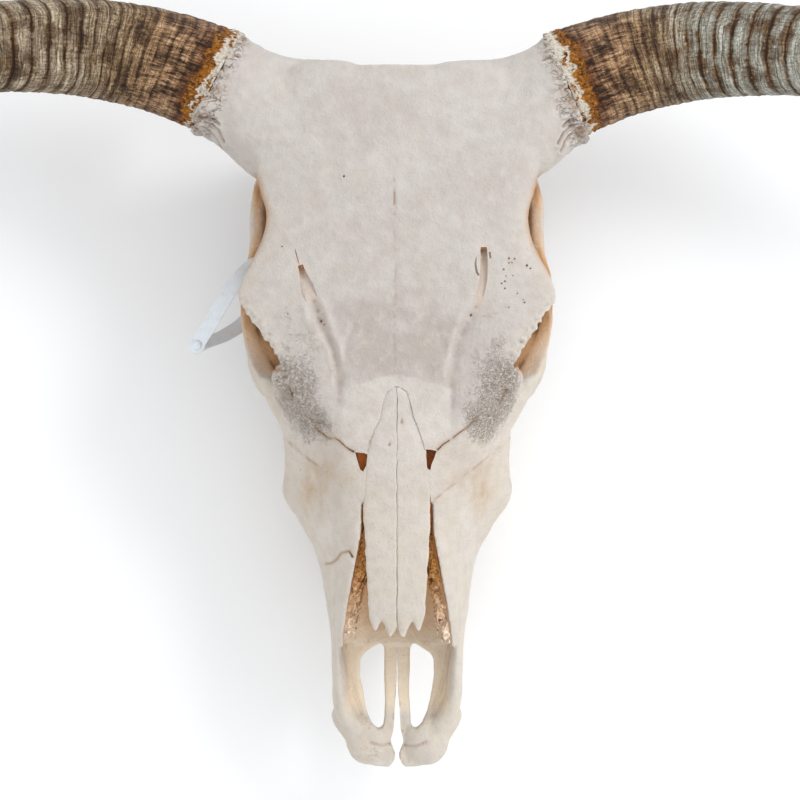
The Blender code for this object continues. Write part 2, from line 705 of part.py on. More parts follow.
def horn(name, sign):
    """A horn's sheath: a tapering, ridged tube along its course."""
    marks = [0.0]
    for a, b in zip(HORN_COURSE, HORN_COURSE[1:]):
        marks.append(marks[-1] + math.dist(a, b))
    length = marks[-1]
    lines = [[(mark, point[k]) for mark, point in zip(marks, HORN_COURSE)] for k in range(3)]
    run, side, depth = HORN_ROOTS[sign]
    root = spot(run, sign * side, depth)

    def middle(reach):
        out, back, up = (along(line, reach) for line in lines)
        return root + Vector((sign * out, back, up)) * MM

    rings = []
    first = Vector((sign * math.cos(HORN_TILTS[sign]), math.sin(HORN_TILTS[sign]), 0))
    for i in range(HORN_RINGS + 1):
        share = (i / HORN_RINGS) ** 1.25
        reach = length * share
        ahead = (middle(min(reach + 4, length)) - middle(max(reach - 4, 0))).normalized()
        turned_in = min(1.0, reach / ROOT_BLEND)
        ahead = (first * (1 - turned_in) + ahead * turned_in).normalized()
        across = ahead.cross(Vector((0, 0, 1))).normalized()
        down = ahead.cross(across).normalized()
        radius = HORN_RADIUS * along(HORN_TAPER, share)
        ridge = HORN_RIDGES[i % 2] if i > 1 and share <= RIDGED_SHARE else 1.0
        centre = middle(reach) + first * 0.4 * MM
        rings.append([
            centre + (across * math.cos(2 * math.pi * k / HORN_SIDES)
                      + down * 0.96 * math.sin(2 * math.pi * k / HORN_SIDES)) * radius * ridge * MM
            for k in range(HORN_SIDES)
        ])
    return loft(name, rings)


def nasal(name, sign):
    """One nasal bone: a gently arched strip with two prongs at its free end."""
    rows = []
    for run in runs_between(*NASAL_RUNS, 13):
        rows.append([(run, max(side, 0.2), depth) for side, depth in nasal_section(run)])
    section = nasal_section(NASAL_RUNS[1])
    for share in (0.5, 1.0):
        rows.append([])
        for (side, depth), reach in zip(section, NASAL_PRONGS):
            narrowed = max(side * (1 - 0.03 * share), 0.2)
            rows[-1].append((NASAL_RUNS[1] + reach * share, narrowed, depth + 2.2 * share))
    bm = bmesh.new()
    tops = [[bm.verts.new(spot(run, sign * side, depth)) for run, side, depth in row] for row in rows]
    bottoms = [[bm.verts.new(spot(run, sign * side, depth + NASAL_THICKNESS)) for run, side, depth in row]
               for row in rows]
    last = len(NASAL_STATIONS) - 1
    for i in range(len(rows) - 1):
        for j in range(last):
            bm.faces.new((tops[i][j], tops[i][j + 1], tops[i + 1][j + 1], tops[i + 1][j]))
            bm.faces.new((bottoms[i][j], bottoms[i + 1][j], bottoms[i + 1][j + 1], bottoms[i][j + 1]))
        for j in (0, last):
            bm.faces.new((tops[i][j], tops[i + 1][j], bottoms[i + 1][j], bottoms[i][j]))
    for i in (0, len(rows) - 1):
        for j in range(last):
            bm.faces.new((tops[i][j], tops[i][j + 1], bottoms[i][j + 1], bottoms[i][j]))
    return object_from_bmesh(name, bm)


def turbinate(name, sign):
    """A scroll of thin bone along the wall of the nose, seen beside the nasal bones."""
    rings = []
    for i, run in enumerate(runs_between(*SCROLL_RUNS, 6)):
        wall = along(NOSE_OPENING, run) - 0.35
        fray = SCROLL_FRAY * math.sin(i * 2.4)
        top = along(SCROLL_TOP, run)
        section = [(0, top), (0, top + 12), (4.0, top + 12), (6.5 + fray, top + 22), (9 + fray, top + 21),
                   (8.0 + fray, top + 8), (4.5, top + 2 + fray)]
        rings.append([spot(run, sign * (wall - inwards), depth) for inwards, depth in section])
    return loft(name, rings)


def tag_strip():
    stations = smooth_stations(TAG_COURSE, 6.0)
    points = [spot(*station[:3]) for station in stations]
    rings = []
    last = len(points) - 1
    for i, point in enumerate(points):
        ahead = (points[min(i + 1, last)] - points[max(i - 1, 0)]).normalized()
        across = (TAG_ACROSS - ahead * TAG_ACROSS.dot(ahead)).normalized()
        up = ahead.cross(across).normalized()
        wide, thick = across * TAG_WIDTH / 2 * MM, up * TAG_THICKNESS / 2 * MM
        corners = (wide + thick, thick - wide, -wide - thick, wide - thick)
        rings.append([point + corner for corner in corners])
    return loft("tag_strip", rings)


def turned(name, place, profile, sides=24):
    """An upright turned piece over a place; profile is (height, radius) from the top."""
    centre = spot(*place)
    angles = [2 * math.pi * k / sides for k in range(sides)]
    rings = []
    for height, radius in profile:
        circle = [Vector((radius * math.cos(angle), radius * math.sin(angle), height)) for angle in angles]
        rings.append([centre + point * MM for point in circle])
    return loft(name, rings)


def tag_band():
    """The strip of the tag with the round eye in which its two ends meet."""
    band = turned("tag_band", TAG_RIVET, TAG_EYE, 32)
    boolean(band, [tag_strip()], "UNION")
    boolean(band, [turned("eye", TAG_RIVET, TAG_HOLE)], "DIFFERENCE")
    return largest_piece(band)


def tag_rivet():
    return turned("tag_rivet", TAG_RIVET, RIVET_PROFILE)


def seat(objects):
    """Moves everything so that the origin lies under the middle of the whole, on the floor."""
    corners = [obj.matrix_world @ Vector(corner) for obj in objects for corner in obj.bound_box]
    low = Vector(min(corner[k] for corner in corners) for k in range(3))
    high = Vector(max(corner[k] for corner in corners) for k in range(3))
    shift = Vector(((low.x + high.x) / 2, (low.y + high.y) / 2, low.z))
    for obj in objects:
        obj.data.transform(Matrix.Translation(-shift))


def main():
    for obj in list(bpy.data.objects):
        remove(obj)
    cranium = whole_skull()
    openings = [under_the_floor(), muzzle_gap(), nasal_bed()]
    openings += [beyond_the_horn_root(sign) for _, sign in SIDES]
    boolean(cranium, openings, "DIFFERENCE")
    largest_piece(cranium)
    bones = []
    for side, sign in SIDES:
        for bone, region in regions(sign):
            bones.append(part_off(cranium, f"{bone}_{side}", region()))
    bones.append(part_off(cranium, "occiput", nape_region()))
    largest_piece(cranium)
    for side, sign in SIDES:
        maxilla = bpy.data.objects[f"maxilla_{side}"]
        boolean(maxilla, tooth_row(sign), "UNION")
        boolean(maxilla, [under_the_floor()], "DIFFERENCE")
        largest_piece(maxilla)
    bones.append(cranium)
    for side, sign in SIDES:
        bones.append(nasal(f"nasal_{side}", sign))
    for bone in bones:
        coat(bone, BONE_COLOUR)
    horns = [horn(f"horn_{side}", sign) for side, sign in SIDES]
    for one in horns:
        coat(one, HORN_COLOUR, 0.55)
    scrolls = [turbinate(f"turbinate_{side}", sign) for side, sign in SIDES]
    for one in scrolls:
        coat(one, TURBINATE_COLOUR, 0.8)
    tag = [tag_band(), tag_rivet()]
    for one in tag:
        coat(one, TAG_COLOUR, 0.35, 0.6)
    seat(bones + horns + scrolls + tag)
    home = bpy.data.collections.new("longhorn_skull")
    bpy.context.scene.collection.children.link(home)
    for obj in bones + horns + scrolls + tag:
        for old in list(obj.users_collection):
            old.objects.unlink(obj)
        home.objects.link(obj)


main()
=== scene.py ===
"""Longhorn skull: the visual model, laid out as an add-on and run as a script.

The bones are shaped again from the same measures as the solids, finely, then carved, parted at
their sutures and coloured. Measures are in millimetres: run along the forehead from the poll to
the muzzle, side outwards from the middle, and depth down from the plane of the forehead.
"""

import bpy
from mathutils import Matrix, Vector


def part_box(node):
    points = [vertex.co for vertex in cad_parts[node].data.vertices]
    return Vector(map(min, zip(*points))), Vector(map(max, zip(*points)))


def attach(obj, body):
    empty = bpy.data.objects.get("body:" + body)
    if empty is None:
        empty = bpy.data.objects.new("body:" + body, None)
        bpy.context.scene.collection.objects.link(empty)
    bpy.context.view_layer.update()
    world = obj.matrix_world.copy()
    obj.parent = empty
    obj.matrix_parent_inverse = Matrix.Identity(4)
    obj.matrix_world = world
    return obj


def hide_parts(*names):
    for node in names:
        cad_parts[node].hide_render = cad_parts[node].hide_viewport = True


bl_info = {
    "name": "Longhorn skull",
    "version": (1, 0, 0),
    "blender": (4, 5, 0),
    "location": "3D View > Sidebar > Skull",
    "description": "Builds a life-size longhorn skull with its horns, teeth and tag",
    "category": "Add Mesh",
}

import bisect
import math

import bmesh
import bpy
import numpy as np
from mathutils import Vector

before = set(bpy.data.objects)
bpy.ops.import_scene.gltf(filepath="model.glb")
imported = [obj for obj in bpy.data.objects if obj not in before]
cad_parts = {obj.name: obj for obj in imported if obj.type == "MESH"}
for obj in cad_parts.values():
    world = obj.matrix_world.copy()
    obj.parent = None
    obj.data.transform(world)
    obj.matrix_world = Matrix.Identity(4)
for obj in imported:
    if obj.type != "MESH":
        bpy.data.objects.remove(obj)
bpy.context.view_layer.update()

MM = 0.001
FLOOR_DEPTH = 165.0  # height of the forehead plane above what the skull lies on
MIDDLE_RUN = 230.0  # the run that lies at y = 0 before the whole is centred
GAP = 0.07  # how far a cut's two faces are moved apart at their corners
SIDES = (("left", 1), ("right", -1))

FINE_VOXEL = 1.25
VOXEL = 2.1
SMOOTH_TURNS = 4
SHARP_ANGLE = math.radians(48)  # faces that meet more steeply than this keep a sharp edge
SUTURE_STRAY = [(0, 0.35), (26, 0.45), (40, 1.7)]  # how far a suture wanders, by distance from the middle
RING_POINTS = 48
RUN_STEP = 6.0

# Forehead: (run, half-width) of its edge, which is also the temporal line and the brow, with
# (run, depth) of its middle and how far its edge lies below that.
BROW_EDGE = [
    (1, 74), (12, 90), (40, 98), (70, 104), (88, 102.5), (100, 99), (113, 96), (128, 98.5),
    (140, 103.5), (150, 109), (160, 113.5), (170, 117), (176, 115.5), (182, 111), (190, 105.5),
    (200, 98.5), (209, 92.5), (218, 87), (226, 84), (236, 84), (250, 78), (264, 62),
]
FOREHEAD_TOP = [(1, 6), (14, 1.5), (40, 0), (120, 0), (200, 1.5), (240, 4), (264, 7)]
BROW_DROP = [(1, 12), (40, 13), (120, 12), (165, 9.5), (215, 9), (232, 13), (250, 19), (264, 22)]
PLATE_THICKNESS = [(1, 22), (120, 22), (160, 16), (210, 14), (264, 20)]

# Braincase: (run, half-width) and (run, depth) of its underside.
BRAINCASE_WIDTH = [(0, 74), (40, 74), (70, 68), (100, 60), (140, 54), (170, 46), (200, 39), (240, 40)]
BRAINCASE_BOTTOM = [(0, 142), (60, 143), (110, 137), (150, 131), (190, 126), (240, 124)]
BRAINCASE_WAIST = 78.0

# The face's lengthwise lines, each as (run, side, depth), from the ridge of the nose round to
# the middle of the palate.
FACE_LINES = {
    "ridge": [(226, 0, 3), (260, 0, 4.5), (300, 0, 7), (345, 0, 9), (385, 0, 12), (430, 0, 18)],
    "nasal side": [(226, 30, 4), (260, 26, 6), (300, 27, 9), (345, 31, 13), (385, 36.5, 21), (410, 41, 31),
                   (430, 42.5, 43)],
    "shoulder": [(226, 62, 9), (260, 56, 14), (300, 48, 20), (330, 46, 25), (358, 44, 34), (392, 45.5, 45),
                 (430, 46.5, 58)],
    "upper cheek": [(226, 84, 17), (242, 86, 26), (260, 80, 40), (300, 75, 54), (322, 69, 56),
                    (344, 60, 54), (372, 53, 58), (400, 50, 64), (430, 48, 70)],
    "cheek": [(226, 93, 50), (246, 90, 62), (270, 85.5, 74), (300, 84.5, 79), (316, 87, 80),
              (326, 84, 82), (336, 77, 84), (348, 69.5, 85), (362, 62, 84), (380, 57, 82), (402, 53.5, 80),
              (430, 49.5, 80)],
    "gum": [(226, 62, 96), (246, 70, 108), (270, 69, 112), (300, 67, 110), (330, 64, 108), (360, 60, 103),
            (395, 50, 96), (430, 45, 91)],
    "tooth edge": [(226, 47, 124), (244, 60, 138), (252, 63, 141), (270, 63, 142), (300, 62, 134), (330, 60, 126),
                   (360, 56, 118), (395, 46, 108), (410, 40, 102), (430, 37, 97)],
    "vault side": [(226, 38, 130), (270, 38, 130), (300, 37, 123), (330, 36, 116), (360, 33, 109),
                   (395, 28, 102), (430, 24, 96)],
    "vault": [(226, 0, 127), (270, 0, 125), (300, 0, 118), (330, 0, 111), (360, 0, 105), (395, 0, 100),
              (430, 0, 95)],
}
FACE_RUNS = (226.0, 432.0)

# Nose: (run, half-width) of the opening, and of the two nasal bones with (run, depth) of their middle.
NOSE_OPENING = [(322, 26.0), (336, 26.4), (345, 26.8), (354, 28.2), (370, 30.9), (386, 33.8), (400, 36.8),
                (412, 38.6), (428, 40), (460, 38)]
NASAL_WIDTH = [(239, 1.5), (242, 7.2), (247, 9.5), (257, 12), (263, 13.5), (275, 18.5), (290, 21.5),
               (307, 23), (325, 24.3), (345, 23.8), (365, 22.8), (388, 21.6), (405, 20.5)]
NASAL_TOP = [(239, 3.6), (275, 4), (310, 5), (350, 7), (380, 9.5), (405, 12.5)]
NASAL_INNER = 0.2  # how far a nasal bone's inner edge lies from the middle
NASAL_SIDE_DROP = 3.0
NASAL_THICKNESS = 5.0
NASAL_RUNS = (239.0, 405.0)
NASAL_STATIONS = (0.0, 0.26, 0.56, 0.8, 1.0)  # shares of the half-width at which the bone is described
NASAL_PRONGS = (9.5, 17.0, 6.0, 12.5, 4.0)  # how far each station reaches past the last run
LIP_SHARE = 1.03  # marks the outermost row of a nasal bone, its lip under the bones around it
BED_END = 325.0

# Premaxillae: outlines in plan, as (run, side), of both bones' edge and of the slot in their palate.
MUZZLE_EDGE = [(425, 0), (425, 48), (443, 49.6), (462, 48), (479, 46.8), (486, 49.6), (493, 47.5),
               (499, 43.5), (506, 38.5), (515, 35), (521, 28), (525, 16), (526, 6), (520, 0)]
PALATE_SLOT = [(431, 12), (434.5, 18), (439, 25), (444.5, 28), (457, 28), (470, 25.7), (483, 22.7),
               (492, 19), (496.5, 14.5), (494.5, 10.6), (474, 9.4), (434.5, 9.4)]
MUZZLE_GAP = [(405, 0.3), (450, 0.5), (468, 1.0), (484, 1.9), (497, 2.6), (506, 4.7), (512, 2.6), (518, 1.1),
              (524, 4), (532, 8)]

# Horns: the middle of each root, as (run, side, depth), and its tilt; then the course of both as
# (out, back, up). This animal's right horn sits a little further out than its left.
HORN_ROOTS = {1: (14.5, 123.5, 38.0), -1: (12.0, 131.5, 38.0)}
HORN_TILTS = {1: math.radians(23.0), -1: math.radians(28.5)}
HORN_SHEATHS = (("left", 1, 1.0, 71), ("right", -1, 0.45, 83))  # side, sign, greyness, seed
HORN_RADIUS = 40.5
PEDICLE_RINGS = [  # side, run, tilt in degrees, half-length, half-depth, depth
    (40, 46, 0, 50, 33, 36), (70, 44, 0, 50, 34, 36), (90, 40, 4, 49.5, 34.5, 36),
    (103, 33, 12, 46, 36, 37), (113, 25, 18, 42.5, 38, 38), (124, 17, 24, 40, 38.5, 38),
    (136, 11, 25, 40, 38.5, 38), (150, 5, 25, 40, 38.5, 38),
]
HORN_COURSE = [
    (0, 0, 0), (40, 14, 1), (78, 22, 3), (115, 25.5, 7), (165, 24, 14), (230, 15, 27), (300, 3, 45),
    (370, -4, 68), (435, 0, 98), (490, 17, 132), (530, 46, 165), (553, 80, 190),
]
HORN_TAPER = [(0, 1.0), (0.12, 0.93), (0.26, 0.83), (0.45, 0.68), (0.62, 0.52), (0.78, 0.35), (0.9, 0.2),
              (0.97, 0.1), (1.0, 0.03)]
HORN_LENGTH = 640.0  # about how long the course is, for the colours
CRUST_REACH = 14.0  # how far the crust at the root reaches outwards
ROOT_BLEND = 90.0  # how far along a horn its rings turn from the root's tilt to the course

# Cheek teeth, from the front: (length along the row, width).
TEETH = [(15, 13), (17, 16), (18, 18), (24, 21), (27, 22), (29, 21)]
TOOTH_ROW_FRONT = 395.0
TOOTH_SIDE = [(262, 52), (300, 51), (340, 48), (380, 42), (396, 39)]
GRINDING_DEPTH = [(262, 165.6), (300, 155), (340, 143), (396, 127)]
TOOTH_ROOT = 22.0

# Tag: a flat strip looped round the cheek arch behind the orbit; places as (run, side, depth).
TAG_COURSE = [
    (206.5, -150.5, 75.4), (190, -140, 69.5), (172, -129, 66.5), (158, -120, 67), (149, -111.5, 69.8),
    (144, -102.5, 71.8), (142, -95.5, 79), (146, -93.5, 91), (158, -97, 100), (175, -106, 104),
    (190, -118, 103), (199, -131, 95), (203, -140, 84), (205.5, -146.5, 78.6), (209, -154, 77.4),
]
TAG_RIVET = (206.5, -150.5, 75.5)
FINE_STRIP_WIDTH = 10.8
TAG_THICKNESS = 0.9
TAG_ACROSS = Vector((0.85, -0.53, 0))


def centring():
    """How far the whole is shifted from the skull's own measures, read from a nasal bone's place."""
    low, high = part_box("nasal_left")
    return Vector((low[0] - NASAL_INNER * MM, high[1] - (MIDDLE_RUN - NASAL_RUNS[0]) * MM, 0.0))


SHIFT = centring()


def spot(run, side, depth):
    """A place on the skull in the model's own axes, in metres."""
    return Vector((side, MIDDLE_RUN - run, FLOOR_DEPTH - depth)) * MM + SHIFT


def measures(points):
    """The run, side and depth of many places, given in metres."""
    points = (np.asarray(points) - np.array(SHIFT)) / MM
    return MIDDLE_RUN - points[:, 1], points[:, 0], FLOOR_DEPTH - points[:, 2]


def along(profile, at):
    """The value at one place of a smooth profile, given as (place, value) pairs."""
    places = [pair[0] for pair in profile]
    values = [pair[1] for pair in profile]
    at = min(max(at, places[0]), places[-1])
    i = min(max(bisect.bisect_right(places, at) - 1, 0), len(places) - 2)

    def slope(k):
        low, high = max(k - 1, 0), min(k + 1, len(places) - 1)
        return (values[high] - values[low]) / (places[high] - places[low])

    step = places[i + 1] - places[i]
    t = (at - places[i]) / step
    return (
        values[i] * (2 * t**3 - 3 * t**2 + 1)
        + values[i + 1] * (3 * t**2 - 2 * t**3)
        + step * slope(i) * (t**3 - 2 * t**2 + t)
        + step * slope(i + 1) * (t**3 - t**2)
    )


def runs_between(first, last, step=RUN_STEP):
    """Evenly spaced runs, both ends included."""
    return np.linspace(first, last, max(2, int(round((last - first) / step)) + 1))


def new_object(name, mesh):
    """An object of a mesh, put into the scene."""
    obj = bpy.data.objects.new(name, mesh)
    bpy.context.scene.collection.objects.link(obj)
    return obj


def object_from_bmesh(name, bm):
    """An object of a worked mesh, with its faces turned outwards."""
    bmesh.ops.recalc_face_normals(bm, faces=bm.faces)
    mesh = bpy.data.meshes.new(name)
    bm.to_mesh(mesh)
    bm.free()
    return new_object(name, mesh)


def loft(name, rings):
    """A closed skin over rings that have the same number of points."""
    bm = bmesh.new()
    loops = [[bm.verts.new(point) for point in ring] for ring in rings]
    count = len(loops[0])
    for low, high in zip(loops, loops[1:]):
        for i in range(count):
            j = (i + 1) % count
            bm.faces.new((low[i], low[j], high[j], high[i]))
    bm.faces.new(loops[0])
    bm.faces.new(loops[-1])
    return object_from_bmesh(name, bm)


def power_wave(value, power):
    """A sine or cosine drawn out towards a squarer (over 2) or sharper (under 2) curve."""
    return math.copysign(abs(value) ** (2.0 / power), value)


def egg_ring(run, half_width, top, waist, bottom, top_power=3.4, bottom_power=2.4):
    """A crosswise ring of the skull that is widest at the waist's depth."""
    ring = []
    for i in range(RING_POINTS):
        angle = 2 * math.pi * i / RING_POINTS
        up = math.sin(angle)
        power, reach = (top_power, waist - top) if up > 0 else (bottom_power, bottom - waist)
        ring.append(spot(run, half_width * power_wave(math.cos(angle), power),
                         waist - reach * power_wave(up, power)))
    return ring


def blob(name, centre, radii, turn=(0, 0, 0)):
    """An ellipsoid; radii are along the side, the run and the depth."""
    bpy.ops.mesh.primitive_uv_sphere_add(segments=24, ring_count=16, radius=1.0)
    obj = bpy.context.object
    obj.name = name
    obj.scale = [radius * MM for radius in radii]
    obj.rotation_euler = turn
    obj.location = spot(*centre)
    return applied(obj)


def limb(name, stations, sides=16):
    """A smooth limb through stations (run, side, depth, half-thickness across, half-thickness down)."""
    points = [spot(*station[:3]) for station in stations]
    rings = []
    last = len(points) - 1
    for i, (point, station) in enumerate(zip(points, stations)):
        ahead = (points[min(i + 1, last)] - points[max(i - 1, 0)]).normalized()
        helper = Vector((0, 0, 1)) if abs(ahead.z) < 0.85 else Vector((0, 1, 0))
        across = ahead.cross(helper).normalized()
        down = ahead.cross(across).normalized()
        rings.append([
            point + across * station[3] * MM * math.cos(2 * math.pi * k / sides)
            + down * station[4] * MM * math.sin(2 * math.pi * k / sides)
            for k in range(sides)
        ])
    return loft(name, rings)


def smooth_stations(stations, step=7.0):
    """More stations on a smooth course through a few, each with as many values."""
    marks = [0.0]
    for a, b in zip(stations, stations[1:]):
        marks.append(marks[-1] + math.dist(a[:3], b[:3]))
    profiles = [[(mark, station[k]) for mark, station in zip(marks, stations)] for k in range(len(stations[0]))]
    count = max(2, int(marks[-1] / step))
    return [tuple(along(profile, marks[-1] * i / count) for profile in profiles) for i in range(count + 1)]


def prism(name, outline, low, high, axes="plan"):
    """An upright block over an outline: (run, side) between depths, or (run, depth) between sides."""
    place = {
        "plan": lambda a, b, level: spot(a, b, level),
        "profile": lambda a, b, level: spot(a, level, b),
    }[axes]
    return loft(name, [[place(a, b, level) for a, b in outline] for level in (low, high)])


def applied(obj):
    """The object with its modifiers and its placing worked into its mesh."""
    bpy.context.view_layer.update()
    graph = bpy.context.evaluated_depsgraph_get()
    evaluated = obj.evaluated_get(graph)
    mesh = bpy.data.meshes.new_from_object(evaluated)
    mesh.transform(obj.matrix_world)
    obj.modifiers.clear()
    obj.data = mesh
    obj.location = (0, 0, 0)
    obj.rotation_euler = (0, 0, 0)
    obj.scale = (1, 1, 1)
    return obj


def remove(obj):
    bpy.data.objects.remove(obj)


def boolean(obj, others, operation):
    """Joins, cuts or crosses obj with the others, which are used up."""
    tools = bpy.data.collections.new("tools")
    for other in others:
        for home in list(other.users_collection):
            home.objects.unlink(other)
        tools.objects.link(other)
    step = obj.modifiers.new("boolean", "BOOLEAN")
    step.operation = operation
    step.operand_type = "COLLECTION"
    step.collection = tools
    step.solver = "MANIFOLD"
    applied(obj)
    for other in others:
        remove(other)
    bpy.data.collections.remove(tools)
    return obj


def copied(obj, name="copy"):
    return new_object(name, obj.data.copy())


def grown(obj, by):
    """A copy with each corner moved outwards."""
    bigger = copied(obj)
    bm = bmesh.new()
    bm.from_mesh(bigger.data)
    bm.normal_update()
    moves = [vertex.normal * by * MM for vertex in bm.verts]
    for vertex, move in zip(bm.verts, moves):
        vertex.co += move
    bm.to_mesh(bigger.data)
    bm.free()
    return bigger


def part_off(body, name, region):
    """Cuts the region out of the body by a thin cut and returns it as a node of its own."""
    piece = copied(body, name)
    outer = grown(region, GAP)
    boolean(piece, [region], "INTERSECT")
    boolean(body, [outer], "DIFFERENCE")
    return largest_piece(piece)


def forehead():
    """The forehead with its brows and the rounded edge of the poll."""
    rings = []
    for run in runs_between(1, 264):
        rear = min(1.0, (run - 1) / 16.0)
        swell = 0.15 + 0.85 * math.sqrt(1 - (1 - rear) ** 2)
        drop = along(BROW_DROP, run)
        waist = along(FOREHEAD_TOP, run) + drop
        rings.append(egg_ring(run, along(BROW_EDGE, run), waist - drop * swell, waist,
                              waist + along(PLATE_THICKNESS, run) * swell, 3.0, 2.2))
    return loft("forehead", rings)


def braincase():
    """The braincase under the forehead."""
    rings = [
        egg_ring(run, along(BRAINCASE_WIDTH, run), 8, BRAINCASE_WAIST, along(BRAINCASE_BOTTOM, run), 3.0, 2.6)
        for run in runs_between(2, 240)
    ]
    return loft("braincase", rings)


def ring_through(points, count):
    """A closed ring of count points on a smooth curve through a few points."""
    size = len(points)
    ring = []
    for i in range(count):
        place = size * i / count
        k = int(place)
        t = place - k
        a, b, c, d = (points[(k + n) % size] for n in (-1, 0, 1, 2))
        ring.append(0.5 * ((2 * b) + (c - a) * t + (2 * a - 5 * b + 4 * c - d) * t**2
                           + (3 * b - a - 3 * c + d) * t**3))
    return ring


def line_at(line, run):
    """The (side, depth) of one of the face's lines at a run."""
    return (along([(p[0], p[1]) for p in line], run), along([(p[0], p[2]) for p in line], run))


def face():
    """The face from the front wall of the orbits to the root of the muzzle."""
    rings = []
    lines = list(FACE_LINES.values())
    for run in runs_between(*FACE_RUNS):
        half = [line_at(line, run) for line in lines]
        both = [spot(run, side, depth) for side, depth in half]
        both += [spot(run, -side, depth) for side, depth in reversed(half[1:-1])]
        rings.append(ring_through(both, RING_POINTS + 16))
    return loft("face", rings)


def pedicle(sign):
    """The bony root of a horn, flaring out of the forehead."""
    rings = []
    for side, run, tilt, half_length, half_depth, depth in smooth_stations(PEDICLE_RINGS, 8.0):
        lean = math.radians(tilt)
        ring = []
        for i in range(32):
            angle = 2 * math.pi * i / 32
            reach = half_length * power_wave(math.cos(angle), 2.3)
            ring.append(spot(run + reach * math.cos(lean), sign * (side + reach * math.sin(lean)),
                             depth - half_depth * power_wave(math.sin(angle), 2.3)))
        rings.append(ring)
    return loft("pedicle", rings)


def cheek_arch(sign):
    """The zygomatic arch from the ear root, under the orbit, to the cheek."""
    stations = [
        (58, 78, 94, 9, 14), (78, 98, 92, 7, 11), (100, 105.5, 88, 5, 9), (135, 106.5, 84, 5, 9),
        (158, 111, 80, 5.5, 10), (180, 112.5, 78, 5.5, 11), (205, 109, 78, 6, 12), (228, 99, 74, 8, 14),
        (250, 86, 70, 10, 16), (268, 76, 72, 10, 16),
    ]
    return limb("arch", smooth_stations([(r, sign * s, d, a, b) for r, s, d, a, b in stations]))


def orbit_bar(sign):
    """The upright bar behind the orbit, from the corner of the brow to the arch."""
    stations = [(169, 104, 12, 8, 7), (168, 109, 24, 5, 6.5), (167, 112, 45, 4.5, 6), (170, 112.5, 64, 5, 8),
                (172, 112, 80, 5, 12)]
    return limb("orbit_bar", smooth_stations([(r, sign * s, d, a, b) for r, s, d, a, b in stations]))


def base_pieces(sign):
    """What stands under the braincase on one side: ear root, condyle, jugular process, bulla, pterygoid."""
    return [
        blob("ear_root", (62, sign * 74, 92), (22, 20, 24)),
        blob("condyle", (54, sign * 29, 139), (19, 17, 17), (math.radians(-20), 0, 0)),
        limb("jugular", smooth_stations([(66, sign * 60, 105, 12, 12), (64, sign * 61, 130, 9, 11),
                                         (66, sign * 60, 150, 7, 9), (70, sign * 58, 170, 6.5, 8)])),
        blob("bulla", (92, sign * 46, 130), (10, 15, 15)),
        limb("ear_tube", smooth_stations([(80, sign * 60, 110, 8, 8), (78, sign * 84, 102, 6, 6)])),
        limb("pterygoid", smooth_stations([(120, sign * 18, 128, 6, 8), (160, sign * 22, 136, 4, 12),
                                           (200, sign * 25, 134, 4, 14), (245, sign * 34, 130, 6, 12)])),
        limb("hamulus", smooth_stations([(172, sign * 23, 140, 4, 6), (166, sign * 25, 156, 3.5, 4.5)])),
    ]


def orbit_floor(sign):
    """The floor of an orbit."""
    return blob("orbit_floor", (212, sign * 78, 88), (36, 44, 15))


def tear_knob(sign):
    """The rough knob of the tear bone at the orbit's front corner."""
    return blob("tear_knob", (232, sign * 81, 17), (12, 11, 9))


def poll_knob(sign):
    """The low swelling of the poll on one side."""
    return blob("poll_knob", (11, sign * 52, 17), (36, 13, 14))


def muzzle(sign):
    """One premaxilla in the rough: its side wall, its sole and the body at the tip."""
    sole = [(run, sign * side) for run, side in MUZZLE_EDGE]
    return [
        limb("side_wall", smooth_stations([(398, sign * 45, 62, 4, 20), (425, sign * 45, 67, 4.4, 21),
                                           (450, sign * 44, 74, 5, 17), (475, sign * 42, 80, 6.5, 12),
                                           (490, sign * 36, 84, 8, 10), (500, sign * 28, 86, 9, 8)])),
        prism("sole", sole, 84, 93),
        blob("tip", (505, sign * 22, 86), (17, 19, 9.5)),
    ]


def muzzle_slots():
    """The long slots in the palate of the premaxillae and the trim of their tips."""
    return [prism("slot", [(run, sign * side) for run, side in PALATE_SLOT], 20, 200) for _, sign in SIDES]


def mirrored(outline):
    """A closed outline of (run, side) points from the line along its left side."""
    return outline + [(run, -side) for run, side in reversed(outline)]


def nose_cavity():
    """The hollow of the nose, under the nasal bones and out at the front."""
    rings = []
    for run in runs_between(302, 470):
        half = along(NOSE_OPENING, run) if run > 322 else 20
        floor = along([(302, 60), (335, 84), (400, 88), (425, 85), (470, 82)], run)
        ring = [
            (half * 0.7, 19), (half, 24), (half, 44), (half + 2, 56), (half - 1, floor - 6),
            (half * 0.6, floor), (0, floor - 2),
        ]
        points = [spot(run, side, depth) for side, depth in ring]
        points += [spot(run, -side, depth) for side, depth in reversed(ring[:-1])]
        rings.append(points)
    return loft("nose_cavity", rings)


def nose_opening():
    """What is open above the hollow of the nose."""
    outline = mirrored([(run, along(NOSE_OPENING, run)) for run in runs_between(323, 480, 5)])
    return prism("nose_opening", outline, -30, 40)


def nasal_section(run, spread=0.0):
    """Places (side, depth) across one nasal bone's upper face."""
    width = along(NASAL_WIDTH, run) + spread
    top = along(NASAL_TOP, run)
    drop = NASAL_SIDE_DROP * min(1.0, width / 20)
    return [(width * share, top + drop * share**2.2) for share in NASAL_STATIONS]


def nasal_bed():
    """The bed of the nasal bones in the bones around them."""
    rings = []
    for run in [NASAL_RUNS[0] - GAP] + list(runs_between(NASAL_RUNS[0] + 3, BED_END, 9)):
        section = nasal_section(run, GAP)
        lower = [(side, depth + NASAL_THICKNESS + GAP) for side, depth in section]
        half = lower + [(section[-1][0], -30)]
        ring = [spot(run, side, depth) for side, depth in half]
        ring += [spot(run, -side, depth) for side, depth in reversed(half[1:])]
        rings.append(ring)
    return loft("nasal_bed", rings)


